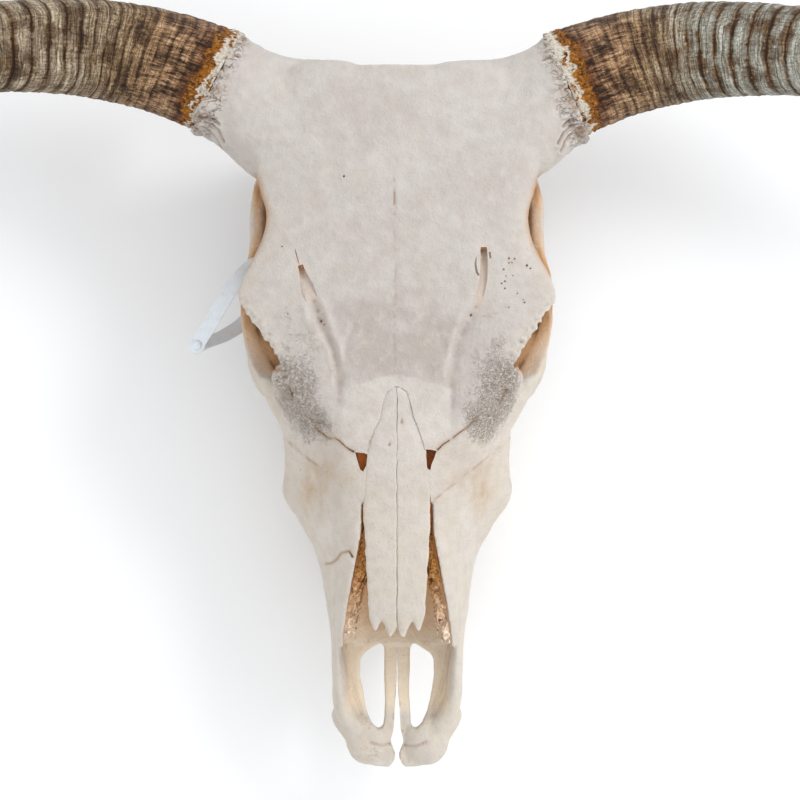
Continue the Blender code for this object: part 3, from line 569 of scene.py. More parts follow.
def cavities():
    """All that is hollowed out of the bone, apart from the fine gap down the middle of the muzzle."""
    cut = [
        blob("brain_hollow", (94, 0, 110), (24, 42, 20)),
        limb("foramen_magnum", smooth_stations([(25, 0, 142, 17, 17), (60, 0, 130, 18, 18),
                                                (90, 0, 118, 17, 17)])),
        limb("throat", smooth_stations([(150, 0, 150, 16, 10), (190, 0, 138, 17, 20), (232, 0, 122, 18, 24),
                                        (262, 0, 112, 14, 10)])),
        nose_cavity(),
        nose_opening(),
    ] + muzzle_slots()
    for _, sign in SIDES:
        cut.append(blob("orbit", (203, sign * 104, 45), (70, 33, 31)))
        cut.append(blob("orbit_mouth", (205, sign * 116, 44), (34, 30, 33)))
        hole = [(362, sign * 70, 92, 4, 5), (350, sign * 54, 90, 3.5, 4.5)]
        cut.append(limb("cheek_hole", smooth_stations(hole)))
    return cut


def beyond_the_nape():
    """The block behind the sloping nape, taken away below the poll."""
    return prism("nape", [(-60, 26), (7, 26), (16, 60), (32, 100), (44, 128), (44, 200), (-60, 200)],
                 -200, 200, "profile")


def under_the_floor():
    """The block under what the skull lies on."""
    return prism("floor", [(-80, FLOOR_DEPTH), (600, FLOOR_DEPTH), (600, 260), (-80, 260)], -200, 200, "profile")


def beyond_the_horn_root(sign, shift=0.0):
    """The block outside the plane in which a horn meets its bony root."""
    run, side, depth = HORN_ROOTS[sign]
    tilt = HORN_TILTS[sign]
    out = Vector((sign * math.cos(tilt), math.sin(tilt), 0))
    back = Vector((-sign * math.sin(tilt), math.cos(tilt), 0))
    centre = spot(run, sign * side, depth) + out * shift * MM
    corners = [(-90, -60), (90, -60), (90, 60), (-90, 60)]
    rings = [
        [centre + out * reach * MM + back * a * MM + Vector((0, 0, b * MM)) for a, b in corners]
        for reach in (0, 70)
    ]
    return loft("beyond_root", rings)


def muzzle_gap():
    """The gap between the two premaxillae, seen from above."""
    outline = mirrored([(run, along(MUZZLE_GAP, run)) for run in runs_between(432, 532, 4)])
    return prism("muzzle_gap", outline, 20, 200)


def regions(sign):
    """The regions of the bones of one side, in the order in which they are cut off."""
    inner = 0.25

    def sided(outline):
        return wandering([(run, sign * side) for run, side in outline])

    return [
        ("premaxilla", lambda: prism("region", sided([
            (430.5, inner), (431, 40), (420, 45.5), (402, 50), (396, 60), (560, 60), (560, inner)]), -40, 200)),
        ("maxilla", lambda: boolean(prism("region", sided([
            (321, inner), (321, 27.5), (312, 39), (303, 50), (293, 64), (277, 84), (262, 110), (560, 110),
            (560, inner)]), -40, 60),
            [prism("region_low", sided([(250, inner), (250, 76), (262, 110), (560, 110), (560, inner)]), 50, 200)],
            "UNION")),
        ("lacrimal", lambda: prism("region", sided([
            (286, 28.5), (279, 44), (270, 56), (262, 70), (243, 84), (228, 99), (262, 120), (330, 120),
            (330, 28.5)]), -40, 50)),
        ("zygomatic", lambda: prism("region", sided([
            (132, 80), (132, 140), (300, 140), (300, 79), (240, 79)]), 48, 120)),
    ]


def turned(name, place, profile, sides=24):
    """An upright turned piece over a place; profile is (height, radius) from the top."""
    centre = spot(*place)
    return loft(name, [
        [centre + Vector((radius * math.cos(2 * math.pi * k / sides), radius * math.sin(2 * math.pi * k / sides),
                          height)) * MM for k in range(sides)]
        for height, radius in profile
    ])


def swells(points, size, seed):
    """Smooth noise from -1 to 1 at many places; size is the width of a swell, in the places' unit."""
    table = np.random.default_rng(seed).uniform(-1, 1, 4096)
    place = np.asarray(points, float) / size + 1000.0
    cell = np.floor(place).astype(np.int64)
    share = place - cell
    share = share * share * (3 - 2 * share)
    total = np.zeros(len(place))
    for step in range(8):
        offset = np.array([step & 1, (step >> 1) & 1, step >> 2])
        corner = cell + offset
        key = (corner[:, 0] * 73856093) ^ (corner[:, 1] * 19349663) ^ (corner[:, 2] * 83492791)
        total += table[key & 4095] * np.where(offset, share, 1 - share).prod(1)
    return total


def line_distance(run, side, line):
    """How far many places lie, in plan, from a line of (run, side) points."""
    best = np.full(len(run), 1e9)
    for (run_a, side_a), (run_b, side_b) in zip(line, line[1:]):
        along_run, along_side = run_b - run_a, side_b - side_a
        share = ((run - run_a) * along_run + (side - side_a) * along_side) / (along_run**2 + along_side**2)
        share = np.clip(share, 0, 1)
        best = np.minimum(best, np.hypot(run - run_a - share * along_run, side - side_a - share * along_side))
    return best


def band(values, low, high, soft):
    """1 between two limits, falling to 0 over the soft width outside them."""
    return np.clip((values - low) / soft + 1, 0, 1) * np.clip((high - values) / soft + 1, 0, 1)


def bump(distance, width):
    """1 on a line or place, falling off smoothly over the width."""
    return np.exp(-((distance / width) ** 2))


def wander(run, side):
    """How far the sutures stray from their plain course, in run and in side."""
    run, side = np.asarray(run, float), np.asarray(side, float)
    places = np.stack([run, side, np.zeros_like(run)], 1)
    reach = np.interp(np.abs(side), *zip(*SUTURE_STRAY))
    return (
        reach * (swells(places, 6, 11) + 0.5 * swells(places, 2.6, 12)),
        reach * (swells(places, 6, 13) + 0.5 * swells(places, 2.6, 14)),
    )


def wandering(outline):
    """A closed outline in plan with more points, each moved as the sutures stray."""
    points = []
    for a, b in zip(outline, outline[1:] + outline[:1]):
        count = max(1, int(math.dist(a, b) / 1.5))
        points += [(a[0] + (b[0] - a[0]) * k / count, a[1] + (b[1] - a[1]) * k / count) for k in range(count)]
    runs, sides = np.array(points).T
    more_run, more_side = wander(runs, sides)
    return list(zip(runs + more_run, sides + more_side))


def coordinates(obj):
    """The places of a mesh's corners, in metres."""
    places = np.empty(len(obj.data.vertices) * 3)
    obj.data.vertices.foreach_get("co", places)
    return places.reshape(-1, 3)


def directions(obj):
    """The outward directions at a mesh's corners."""
    normals = np.empty(len(obj.data.vertices) * 3, np.float32)
    obj.data.vertex_normals.foreach_get("vector", normals)
    return normals.reshape(-1, 3).astype(float)


def put_back(obj, places):
    """Moves a mesh's corners to new places."""
    obj.data.vertices.foreach_set("co", np.asarray(places, np.float32).reshape(-1))
    obj.data.update()


def stray(obj):
    """Moves a mesh in plan as the sutures stray, so that its edges fit the bones around it."""
    places = coordinates(obj)
    run, side, _ = measures(places)
    more_run, more_side = wander(run, side)
    places[:, 0] += more_side * MM
    places[:, 1] -= more_run * MM
    put_back(obj, places)
    return obj


def smoothed(obj, turns):
    """The object with its surface relaxed a number of times."""
    step = obj.modifiers.new("smooth", "SMOOTH")
    step.factor = 0.5
    step.iterations = turns
    return applied(obj)


def remeshed(obj, voxel):
    """The object with an even mesh of small cells."""
    step = obj.modifiers.new("remesh", "REMESH")
    step.mode = "VOXEL"
    step.voxel_size = voxel * MM
    return applied(obj)


def pieces_of(obj):
    """The number of the separate closed surface that each corner of a mesh belongs to."""
    mesh = obj.data
    ends = np.empty(len(mesh.edges) * 2, np.int32)
    mesh.edges.foreach_get("vertices", ends)
    ends = ends.reshape(-1, 2)
    label = np.arange(len(mesh.vertices))
    while True:
        low = np.minimum(label[ends[:, 0]], label[ends[:, 1]])
        new = label.copy()
        np.minimum.at(new, label[ends[:, 0]], low)
        np.minimum.at(new, label[ends[:, 1]], low)
        new = np.minimum(new, new[label])
        new = new[new]
        if (new == label).all():
            return label
        label = new


def largest_piece(obj):
    """Drops all but the largest closed surface of a mesh."""
    label = pieces_of(obj)
    names, counts = np.unique(label, return_counts=True)
    if len(names) == 1:
        return obj
    kept = label == names[np.argmax(counts)]
    bm = bmesh.new()
    bm.from_mesh(obj.data)
    bm.verts.ensure_lookup_table()
    bmesh.ops.delete(bm, geom=[bm.verts[k] for k in np.flatnonzero(~kept)], context="VERTS")
    bm.to_mesh(obj.data)
    bm.free()
    return obj


def surface_at(places, run, side, reach=2.2):
    """The height of a surface's top, in metres, near a place in plan."""
    middle = spot(run, side, 0)
    near = (np.abs(places[:, 0] - middle.x) < reach * MM) & (np.abs(places[:, 1] - middle.y) < reach * MM)
    return float(places[near, 2].max())


def slot_cutter(stations, places):
    """A cutter for a trough in the bone's upper face.

    Its stations are (run, side, half-width, depth below the face).
    """
    rings = []
    for i, (run, side, half, deep) in enumerate(stations):
        before, after = stations[max(i - 1, 0)], stations[min(i + 1, len(stations) - 1)]
        ahead = Vector((after[1] - before[1], before[0] - after[0], 0)).normalized()
        across = Vector((-ahead.y, ahead.x, 0))
        face = surface_at(places, run, side)
        centre = spot(run, side, 0)
        centre.z = face
        ring = []
        for wide, high in ((1, 3), (1, -0.55 * deep), (0.75, -0.85 * deep), (0.3, -deep), (-0.3, -deep),
                           (-0.75, -0.85 * deep), (-1, -0.55 * deep), (-1, 3)):
            ring.append(centre + (across * wide * half + Vector((0, 0, high))) * MM)
        rings.append(ring)
    return loft("slot", rings)


def pit_cutter(run, side, radius, deep, places):
    """A cutter for a small round pit in the bone's upper face."""
    centre = spot(run, side, 0)
    centre.z = surface_at(places, run, side, 1.6)
    return loft("pit", [
        [centre + Vector((radius * share * math.cos(a * math.pi / 4), radius * share * math.sin(a * math.pi / 4),
                          height)) * MM for a in range(8)]
        for height, share in ((2.5, 1.25), (-0.1, 1.0), (-deep, 0.7))
    ])


# Troughs in the forehead, as (run, side, half-width, depth), and other fine forms in plan as (run, side).
BROW_SLOTS = [
    [(149.4, -70.6, 1.9, 5.5), (151.5, -70.0, 2.1, 7.0), (155, -69.0, 2.6, 5.0), (160, -67.4, 3.7, 3.4),
     (165, -65.8, 4.8, 1.7), (170, -64.4, 5.0, 0.5), (174, -62.6, 4.6, -0.6)],
    [(136.3, 63.4, 2.0, 5.5), (138.5, 63.4, 2.6, 7.0), (143, 63.6, 2.6, 4.8), (150, 63.6, 2.7, 3.6),
     (159, 63.2, 2.9, 2.8), (166, 62.0, 2.8, 1.9), (172, 60.6, 2.6, 0.9), (177, 59.2, 2.4, -0.6)],
    [(143.5, 57.9, 0.25, 0.5), (149, 57.3, 0.75, 1.8), (154.5, 58.2, 0.9, 2.0), (157, 59.8, 0.8, 1.6)],
    [(140, 67.6, 0.8, 1.8), (144.5, 68.2, 0.7, 1.5)],
    [(137.5, -74.6, 0.2, 0.4), (141, -73.7, 0.6, 1.2), (146, -72.4, 0.5, 1.0), (149, -71.4, 0.3, 0.6)],
]
SUTURE_CHIPS = [
    [(268.5, -60, 0.2, 0.6), (271, -57.4, 0.7, 2.0), (273.4, -53.6, 0.8, 2.4), (275.8, -50.6, 0.6, 2.0),
     (276.4, -47.4, 0.3, 1.0)],
    [(276.0, -45.6, 0.3, 1.2), (277.6, -42.8, 0.6, 2.0), (279.6, -40.4, 0.5, 1.6), (282.4, -37.6, 0.4, 1.4),
     (284.4, -34.6, 0.7, 2.2), (286.0, -31.4, 0.8, 2.6)],
    [(260.6, 58.2, 0.2, 0.6), (266.8, 53.4, 0.5, 1.6), (271.4, 46.6, 0.5, 1.8), (275.6, 41.2, 0.4, 1.4)],
    [(277.6, 38.2, 0.4, 1.6), (280.4, 34.0, 0.6, 1.8), (284.6, 29.6, 0.7, 2.2)],
    [(237.5, -79.8, 0.5, 1.8), (243.5, -76.8, 0.8, 2.4), (247, -77.4, 0.3, 1.0)],
    [(240, 80.4, 0.5, 1.8), (246, 77.6, 0.9, 2.6), (250.5, 75.4, 0.3, 1.0)],
]
CHEEK_CRACK = [
    (363.5, -32.6, 0.9, 3.0), (359.4, -35.0, 0.8, 2.6), (359.8, -38.2, 0.5, 2.2), (361.2, -41.4, 0.7, 2.2),
    (366, -44.4, 0.4, 1.5), (369.4, -48.6, 0.3, 1.0), (370.6, -53, 0.15, 0.5),
]
TEAR_HOLES = [
    [(286.3, -30.6), (286.8, -24), (288.4, -20.5), (294.2, -21.6), (300.4, -24.8), (299, -27), (292, -29.2)],
    [(284.1, 19.8), (284.4, 25), (285.4, 29.0), (290.5, 27.4), (295, 25.4), (299.5, 24.4), (297.4, 21.2),
     (290.5, 19.8)],
]
BROW_GROOVES = [  # line, width, depth
    ([(166, -65), (172, -62.8), (180, -61), (190, -57.5), (201, -52.6), (212, -47), (228, -44.3), (250, -43)],
     4.6, 1.9),
    ([(178, -60.5), (190, -56.8), (201, -51.6), (212, -46), (228, -43.3), (244, -42.6)], 2.2, 0.9),
    ([(193.5, -30.7), (204, -36.5), (222, -38.5), (236, -41)], 2.4, 1.2),
    ([(172, 60), (180, 57.5), (190, 53), (200, 48.5), (214, 44), (234, 41), (252, 40.8)], 4.6, 1.7),
    ([(192, 51), (202, 46.4), (216, 42.4), (234, 40.2), (254, 40)], 2.0, 0.8),
    ([(196, 30), (210, 34.5), (224, 36.8), (238, 38.5)], 2.4, 0.9),
]
GROOVE_BANKS = [
    ([(176, -54), (186, -50), (198, -46.5), (210, -41), (226, -38)], 3.0, 1.2),
    ([(190, -60.4), (200, -56.2), (212, -50), (226, -47.4), (238, -46.8)], 1.7, 1.0),
    ([(178, -68), (190, -64.5), (202, -58)], 3.0, 0.8),
    ([(186, 46), (198, 42), (212, 38), (230, 35)], 3.0, 1.0),
    ([(262, -78), (280, -70), (300, -64), (320, -58), (340, -49)], 6.0, 0.9),
    ([(262, 78), (280, 70), (300, 63), (320, 56), (340, 47)], 6.0, 0.9),
]
TEAR_BONE_EDGE = [(321, 27.5), (312, 39), (303, 50), (293, 64), (277, 84), (262, 110)]
SMALL_PITS = [  # run, side, radius, depth
    (190.5, -55.5, 0.9, 2.2), (193, -53.4, 0.6, 1.6), (186, 54, 0.85, 2.2), (144.5, 81.8, 0.6, 1.6),
    (144.8, 86, 0.55, 1.6), (148, 81.8, 0.5, 1.4), (147.6, 83.9, 0.4, 1.2), (152.5, 78, 0.6, 1.6),
    (149.6, 95, 0.8, 2.0), (151.8, 97.4, 0.55, 1.8), (161.3, 78.8, 0.6, 1.6), (162.8, 76.4, 0.5, 1.4),
    (166.4, 78.8, 0.55, 1.4), (157.4, 79.6, 0.4, 1.2), (176.7, 93.4, 0.6, 1.6), (174.6, 92.2, 0.4, 1.2),
    (135.8, -84, 0.55, 1.5), (84.7, -38.7, 0.75, 1.4), (157, 84.6, 0.4, 1.2), (170, 88, 0.4, 1.2),
    (180, 82, 0.4, 1.2), (185, -80, 0.4, 1.2), (300, -72, 0.5, 1.2),
]
NASAL_PITS = [(263.5, 3.4, 1.0, 1.3), (281, -5.5, 1.1, 1.3)]
MIDDLE_SEAM = [(86, -2.2), (120, -1.6), (160, -1.2), (200, -1.8), (234, -1.0)]
SEAM_DASHES = [(96, -2.1), (105, -1.9)]
TIP_CREASES = [  # line, width, depth
    ([(506, -20), (508.6, -12), (507.6, -3)], 1.3, 1.3),
    ([(508.6, 6), (509.4, 13), (505.4, 22)], 1.3, 1.3),
]
MUZZLE_LINES = [
    [(432, -37.4), (452, -34.4), (472, -28.4), (486, -22.6)],
    [(432, 37.4), (452, 34.4), (472, 28.4), (486, 22.6)],
]
ROUGH_PATCHES = [(246, 74, 23, 16), (231, 80, 13, 10), (263, 63, 16, 14)]  # run, side, reach in run and in side
GRANULAR_BROW = (212, 72, 34, 22)
BUMPY_BROW = (190, 26, 48, 44)
FLANGE_FOLDS = [  # on the right side; on the left they lie a little nearer the middle
    [(46, -143), (50, -137.5), (56, -132), (63, -129.5)], [(43.6, -141), (46, -136), (50, -131), (58, -127)],
    [(41, -139.5), (42.4, -134), (46, -130.5)], [(-4, -119.4), (-3, -115.6)],
]
LEFT_FOLD_SHIFT = 9.0
FURROW_PITS = [(175.5, -60.6, 1.6), (183, -57.9, 1.5), (189.6, -56.4, 1.9), (185.5, -54.6, 1.1), (186.5, 54.2, 1.9),
               (180, 57.6, 1.2)]


def fold_lines():
    """The folds beside both horns."""
    return FLANGE_FOLDS + [[(run + 2, -side - LEFT_FOLD_SHIFT) for run, side in line] for line in FLANGE_FOLDS]


def patch(run, side, centre):
    """1 in the middle of an oval patch on both sides of the skull, falling off outwards."""
    middle_run, middle_side, reach_run, reach_side = centre
    return np.exp(-(((run - middle_run) / reach_run) ** 2 + ((np.abs(side) - middle_side) / reach_side) ** 2))


def roughness_of(run, side, depth):
    """Where the bone is rough and pitted: the tear bones and the front corners of the orbits."""
    rough = np.max([patch(run, side, centre) for centre in ROUGH_PATCHES], axis=0)
    return rough * band(depth, -5, 42, 14)


def root_reach(places, sign):
    """How far many places lie inside the plane in which a horn meets its bony root, in millimetres."""
    run, side, depth = HORN_ROOTS[sign]
    tilt = HORN_TILTS[sign]
    out = np.array([sign * math.cos(tilt), math.sin(tilt), 0])
    return -((places - np.array(spot(run, sign * side, depth))) @ out) / MM


def carve(body, relief):
    """Works the surface's fine forms into the bone."""
    places = coordinates(body)
    normals = directions(body)
    run, side, depth = measures(places)
    spots = np.stack([run, side, depth], 1)
    up = np.clip(normals[:, 2], 0, 1)
    top = band(depth, -10, 30, 10) * up
    move = 0.7 * swells(spots, 26, 1) + 0.34 * swells(spots, 9, 2) + 0.14 * swells(spots, 3.6, 3)
    move += patch(run, side, BUMPY_BROW) * top * (0.8 * swells(spots, 13, 11) + 0.35 * swells(spots, 6, 12))
    rough = roughness_of(run, side, depth)
    crumbs = 0.75 * swells(spots, 3.4, 4) + 0.5 * swells(spots, 1.9, 5) + 0.6 * swells(spots, 8, 6)
    move += rough * (1.35 * crumbs - 0.6 * np.clip(swells(spots, 4.6, 7), 0.35, 1))
    grains = patch(run, side, GRANULAR_BROW) * band(depth, -5, 30, 8)
    move += grains * (0.34 * swells(spots, 2.4, 8) + 0.2 * swells(spots, 4.5, 9))
    for forms, way, where in ((BROW_GROOVES, -1, top), (GROOVE_BANKS, 1, top), (TIP_CREASES, -1, up)):
        for line, width, deep in forms:
            move += way * deep * where * bump(line_distance(run, side, line), width)
    crack = [station[:2] for station in CHEEK_CRACK]
    move -= 1.0 * up * bump(line_distance(run, side, crack), 2.6) * (1 + 0.6 * swells(spots, 3, 10))
    move += 0.6 * up * bump(line_distance(run, side, [(r + 4, s) for r, s in crack]), 3.0)
    move -= 0.3 * top * bump(line_distance(run, side, MIDDLE_SEAM), 1.0) * (0.3 + swells(spots, 4, 15))
    move -= 0.9 * top * bump(line_distance(run, side, SEAM_DASHES), 1.1)
    for pit_run, pit_side, width in FURROW_PITS:
        move -= 1.0 * top * bump(np.hypot(run - pit_run, side - pit_side), width)
    for line in fold_lines():
        away = line_distance(run, side, line)
        move += (0.7 * bump(away - 2.0, 1.3) - 1.5 * bump(away, 0.8)) * (normals[:, 2] > 0.1)
    brow = np.abs(side) - np.interp(run, *zip(*BROW_EDGE))
    inward = np.clip(-normals[:, 0] * np.sign(side) * 1.4, 0, 1)
    move += 3.0 * inward * band(run, 92, 152, 10) * band(depth, 22, 88, 8) * (brow > -6)
    teeth = band(run, 176, 236, 8) * band(depth, -2, 24, 6) * band(brow, -5, 4, 3)
    move += teeth * (1.5 * swells(spots, 2.6, 16) + 0.4)
    for _, sign in SIDES:
        inside = root_reach(places, sign)
        wrap = np.stack([inside * 0.25, spots[:, 0], spots[:, 2]], 1)
        near = band(inside, -2, 5, 20) * (side * sign > 90)
        low = 0.5 + 0.5 * np.clip((run - 22) / 22, -1, 1)
        move += near * (0.3 + 1.7 * low) * (1.0 * swells(wrap, 3.4, 17) + 0.7 * swells(spots, 5.5, 18))
        rim = bump(inside - 2, 3.4) * (side * sign > 90)
        move += rim * (1.1 + 1.3 * swells(spots, 3.2, 19) + 0.7 * swells(spots, 1.8, 20))
    put_back(body, places + normals * (move * relief * MM)[:, None])
    return body


def mark_bone(obj):
    """Writes the masks that colour a bone: where it is grey, creamy, stained, inside or on a suture, and where
    shade or highlight is painted.
    """
    places = coordinates(obj)
    normals = directions(obj)
    run, side, depth = measures(places)
    wide = np.abs(side)
    spots = np.stack([run, side, depth], 1)
    up = normals[:, 2]
    patchy = 0.5 + 0.5 * swells(spots, 14, 31)
    marks = {}
    rough = roughness_of(run, side, depth)
    flange = 0.0 * run
    crumple = 0.0 * run
    for _, sign in SIDES:
        inside = root_reach(places, sign)
        wrap = np.stack([inside * 0.25, spots[:, 0], spots[:, 2]], 1)
        crease = np.clip(-2.6 * swells(wrap, 3.4, 17) - 1.0 * swells(spots, 5.5, 18) - 0.25, 0, 1)
        low = np.clip((run - 10) / 30, 0.1, 1)
        crumple = np.maximum(crumple, crease * low * band(inside, -2, 3, 13) * (sign * side > 95) * (up > 0))
        flange = np.maximum(flange, band(inside, -3, 4, 14) * (sign * side > 95)
                            * (0.35 + 0.65 * np.clip((run - 18) / 20, 0, 1)))
        flange = np.maximum(flange, 0.8 * bump(inside - 2, 3.5) * (sign * side > 95))
    grains = patch(run, side, GRANULAR_BROW) * band(depth, -5, 30, 8) * (up > -0.2)
    tips = patch(run, side, (514, 16, 9, 15)) * (up > -0.1)
    marks["flange"] = np.clip(flange, 0, 1) * (up > -0.4)
    marks["rough"] = np.clip(np.maximum(rough * 1.2, 0.4 * flange) + 0.3 * grains + 0.3 * tips, 0, 1)
    marks["grey"] = np.clip(rough * 1.1 * (0.7 + 0.5 * patchy) + 0.12 * grains + 0.25 * tips, 0, 1)
    front = np.clip((run - 255) / 90, 0, 1)
    edge = np.clip((wide - np.interp(run, *zip(*BROW_EDGE)) + 18) / 20, 0, 1)
    edge *= np.clip((run - 62) / 40, 0, 1)
    marks["cream"] = np.clip(np.maximum(front * 0.8, edge * 0.7) + np.clip((depth - 38) / 60, 0, 0.6), 0, 1)
    snout = band(run, 378, 476, 10) * np.clip((np.interp(run, *zip(*NOSE_OPENING)) + 2.5 - wide) / 5, 0, 1)
    snout *= band(depth, 34, 95, 5)
    marks["ivory"] = np.clip(snout, 0, 1)
    step = 1.2 * swells(spots, 7, 32)
    below = np.clip((run - 228 - 0.27 * wide + step) / 1.5, 0, 1) * np.clip((41 - wide) / 3, 0, 1)
    below *= np.clip((318 - run) / 40, 0, 1)
    # Painted highlight on the raised banks of the brow grooves, added to the real paler patch below the brows.
    banks = 0.0 * run
    for line, width, high in GROOVE_BANKS:
        banks = np.maximum(banks, 0.5 * high * bump(line_distance(run, side, line), width * 0.8))
    pale = below * 0.75 + banks
    marks["pale"] = np.clip(pale * (up > 0.3) + 0.7 * patch(run, side, (345, 54, 24, 9)), 0, 1)
    # Painted shade: a darker patch in the shallow hollow between the brows, along the brow grooves and in the low
    # places of the bumpy brow.
    dusk = 1.3 * patch(run, side, (208, 8, 34, 54)) * np.clip((238 - run) / 5, 0, 1)
    dusk = dusk * (0.5 + 0.7 * patchy)
    for line, width, deep in BROW_GROOVES:
        dusk = np.maximum(dusk, 0.62 * deep / 1.7 * bump(line_distance(run, side, line), width * 0.8))
    bulges = 0.8 * swells(spots, 13, 11) + 0.35 * swells(spots, 6, 12)
    dusk += np.clip(-bulges * 0.9, -0.4, 0.6) * patch(run, side, BUMPY_BROW)
    marks["dusk"] = np.clip(dusk, 0, 1) * (up > 0)
    stain = patch(run, side, (316, 63, 17, 9)) * 0.65 + patch(run, side, (300, 50, 20, 22)) * 0.35
    stain += patch(run, side, (505, 44, 8, 7)) * 0.25
    for _, sign in SIDES:
        spotty = np.clip(swells(spots, 2.6, 33) * 2.2 - 0.3, 0, 1)
        stain += 0.9 * bump(root_reach(places, sign) - 1, 5.0) * (sign * side > 90) * spotty
    marks["grime"] = np.clip(stain * (0.6 + 0.8 * patchy), 0, 1)
    nose = band(run, 290, 470, 6) * (wide < np.interp(run, *zip(*NOSE_OPENING)) + 3.0)
    nose *= band(depth, 17 + 0.14 * np.clip(run - 322, 0, 200), 90, 4)
    nose *= np.interp(run, [290, 365, 390, 405, 430], [1, 0.95, 0.6, 0.3, 0.0]) * (wide + 1.0 < np.interp(
        run, *zip(*NOSE_OPENING)) + np.clip((depth - 20) / 8, 0, 3))
    brow = np.interp(run, *zip(*BROW_EDGE))
    past = wide - brow
    orbit = band(run, 168, 226, 6) * band(depth, 15, 90, 5) * (past > -9) * (wide < 119)
    orbit *= np.clip((240 - run) / 16, 0, 1)
    temple = band(run, 88, 152, 8) * band(depth, 12, 150, 6) * (past > -30)
    holes = 0.0 * run
    flesh = 0.0 * run
    for stations in BROW_SLOTS[:2]:
        line = [station[:2] for station in stations]
        flesh = np.maximum(flesh, bump(line_distance(run, side, line), 3.4) * (up > 0))
        mouth = bump(np.hypot(run - line[1][0] - 0.5, side - line[1][1]), 3.2)
        holes = np.maximum(holes, 1.3 * mouth * (np.abs(up) < 0.6))
    ember = 0.0 * run
    for outline in TEAR_HOLES:
        middle = np.mean(outline, axis=0)
        well = bump(np.hypot(run - middle[0], side - middle[1]), 11)
        ember = np.maximum(ember, 1.8 * well * np.clip((depth - np.where(up > 0.3, 20, 9)) / 3, 0, 1))
    marks["ember"] = np.clip(ember, 0, 1)
    marks["inside"] = np.clip(np.maximum(nose, holes), 0, 1)
    marks["flesh"] = np.clip(flesh, 0, 1)
    # Painted shade with some real warm colour in the orbits and temporal slits, darkest next to the brow's edge.
    marks["warm"] = np.clip(np.maximum(orbit * np.clip(1.25 - past / 22, 0, 1),
                                       temple * np.clip(1.7 - past / 8, 0, 1)), 0, 1)
    marks["shade"] = np.clip(np.maximum(orbit * np.clip(1.0 - past / 13, 0, 1),
                                        temple * np.clip(1.5 - past / 6, 0, 1)), 0, 1)
    seam = np.clip(0.22 + 0.8 * swells(spots, 2.2, 15), 0, 0.5) * bump(line_distance(run, side, MIDDLE_SEAM), 0.8)
    seam = np.maximum(seam, 0.7 * bump(line_distance(run, side, SEAM_DASHES), 0.9))
    seam = np.maximum(seam, 0.9 * bump(line_distance(run, side, [station[:2] for station in CHEEK_CRACK]), 1.0))
    seam = np.maximum(seam, 0.85 * crumple)
    for line in fold_lines():
        broken = 0.6 + 0.7 * swells(spots, 5, 34)
        seam = np.maximum(seam, 0.6 * bump(line_distance(run, side, line), 0.9) * broken)
    for pit_run, pit_side, radius, _ in SMALL_PITS + NASAL_PITS:
        seam = np.maximum(seam, 0.8 * (np.hypot(run - pit_run, side - pit_side) < radius * 1.2))
    for pit_run, pit_side, radius in FURROW_PITS:
        seam = np.maximum(seam, 0.14 * bump(np.hypot(run - pit_run, side - pit_side), radius))
    parted = line_distance(run, wide, TEAR_BONE_EDGE)
    seam = np.maximum(seam, 0.8 * bump(parted, 0.9) * np.clip(0.35 + 0.9 * swells(spots, 6, 35), 0, 1))
    seam *= up > 0.1
    for stations in SUTURE_CHIPS:
        seam = np.maximum(seam, 0.8 * bump(line_distance(run, side, [station[:2] for station in stations]), 1.3))
    for line in MUZZLE_LINES:
        for seed, shift in enumerate((-3.8, -1.4), 36):
            strand = [(mark_run, mark_side + math.copysign(shift, mark_side)) for mark_run, mark_side in line]
            strength = np.clip(0.25 + 0.3 * swells(spots, 9, seed), 0, 1)
            seam = np.maximum(seam, strength * bump(line_distance(run, side, strand), 0.8) * (depth > 30))
    for line, width, _ in TIP_CREASES:
        seam = np.maximum(seam, 0.35 * bump(line_distance(run, side, line), width * 0.8) * (up > 0))
    marks["line"] = seam
    for name, values in marks.items():
        layer = obj.data.attributes.new(name, "FLOAT", "POINT")
        layer.data.foreach_set("value", np.asarray(values, np.float32))


def rough_skull():
    """All the bone in the rough: masses joined, hollows cut."""
    body = forehead()
    masses = [braincase(), face()]
    for _, sign in SIDES:
        masses += [pedicle(sign), cheek_arch(sign), orbit_bar(sign), orbit_floor(sign), tear_knob(sign),
                   poll_knob(sign)]
        masses += base_pieces(sign) + muzzle(sign)
    masses.append(limb("nape_crest", smooth_stations([(18, 0, 36, 16, 8), (27, 0, 62, 12, 7), (38, 0, 96, 6, 5)])))
    late = [mass for mass in masses if mass.name.startswith(("condyle", "jugular", "ear_root", "nape_crest"))]
    boolean(body, [mass for mass in masses if mass not in late], "UNION")
    boolean(body, [beyond_the_nape()], "DIFFERENCE")
    boolean(body, late, "UNION")
    return boolean(body, cavities(), "DIFFERENCE")


def fine_skull(relief):
    """The whole skull with a fine surface, carved, before it is parted into bones."""
    voxel = FINE_VOXEL
    body = remeshed(rough_skull(), voxel)
    smoothed(body, int(round(SMOOTH_TURNS * (VOXEL / voxel) ** 2)))
    largest_piece(body)
    cutters = [under_the_floor(), muzzle_gap(), stray(nasal_bed())]
    cutters += [beyond_the_horn_root(sign) for _, sign in SIDES]
    boolean(body, cutters, "DIFFERENCE")
    carve(body, relief)
    places = coordinates(body)
    cutters = [slot_cutter(stations, places) for stations in BROW_SLOTS + SUTURE_CHIPS + [CHEEK_CRACK]]
    cutters += [pit_cutter(*pit, places) for pit in SMALL_PITS]
    cutters += [prism("tear_hole", outline, 0, 22) for outline in TEAR_HOLES]
    return boolean(body, cutters, "DIFFERENCE")


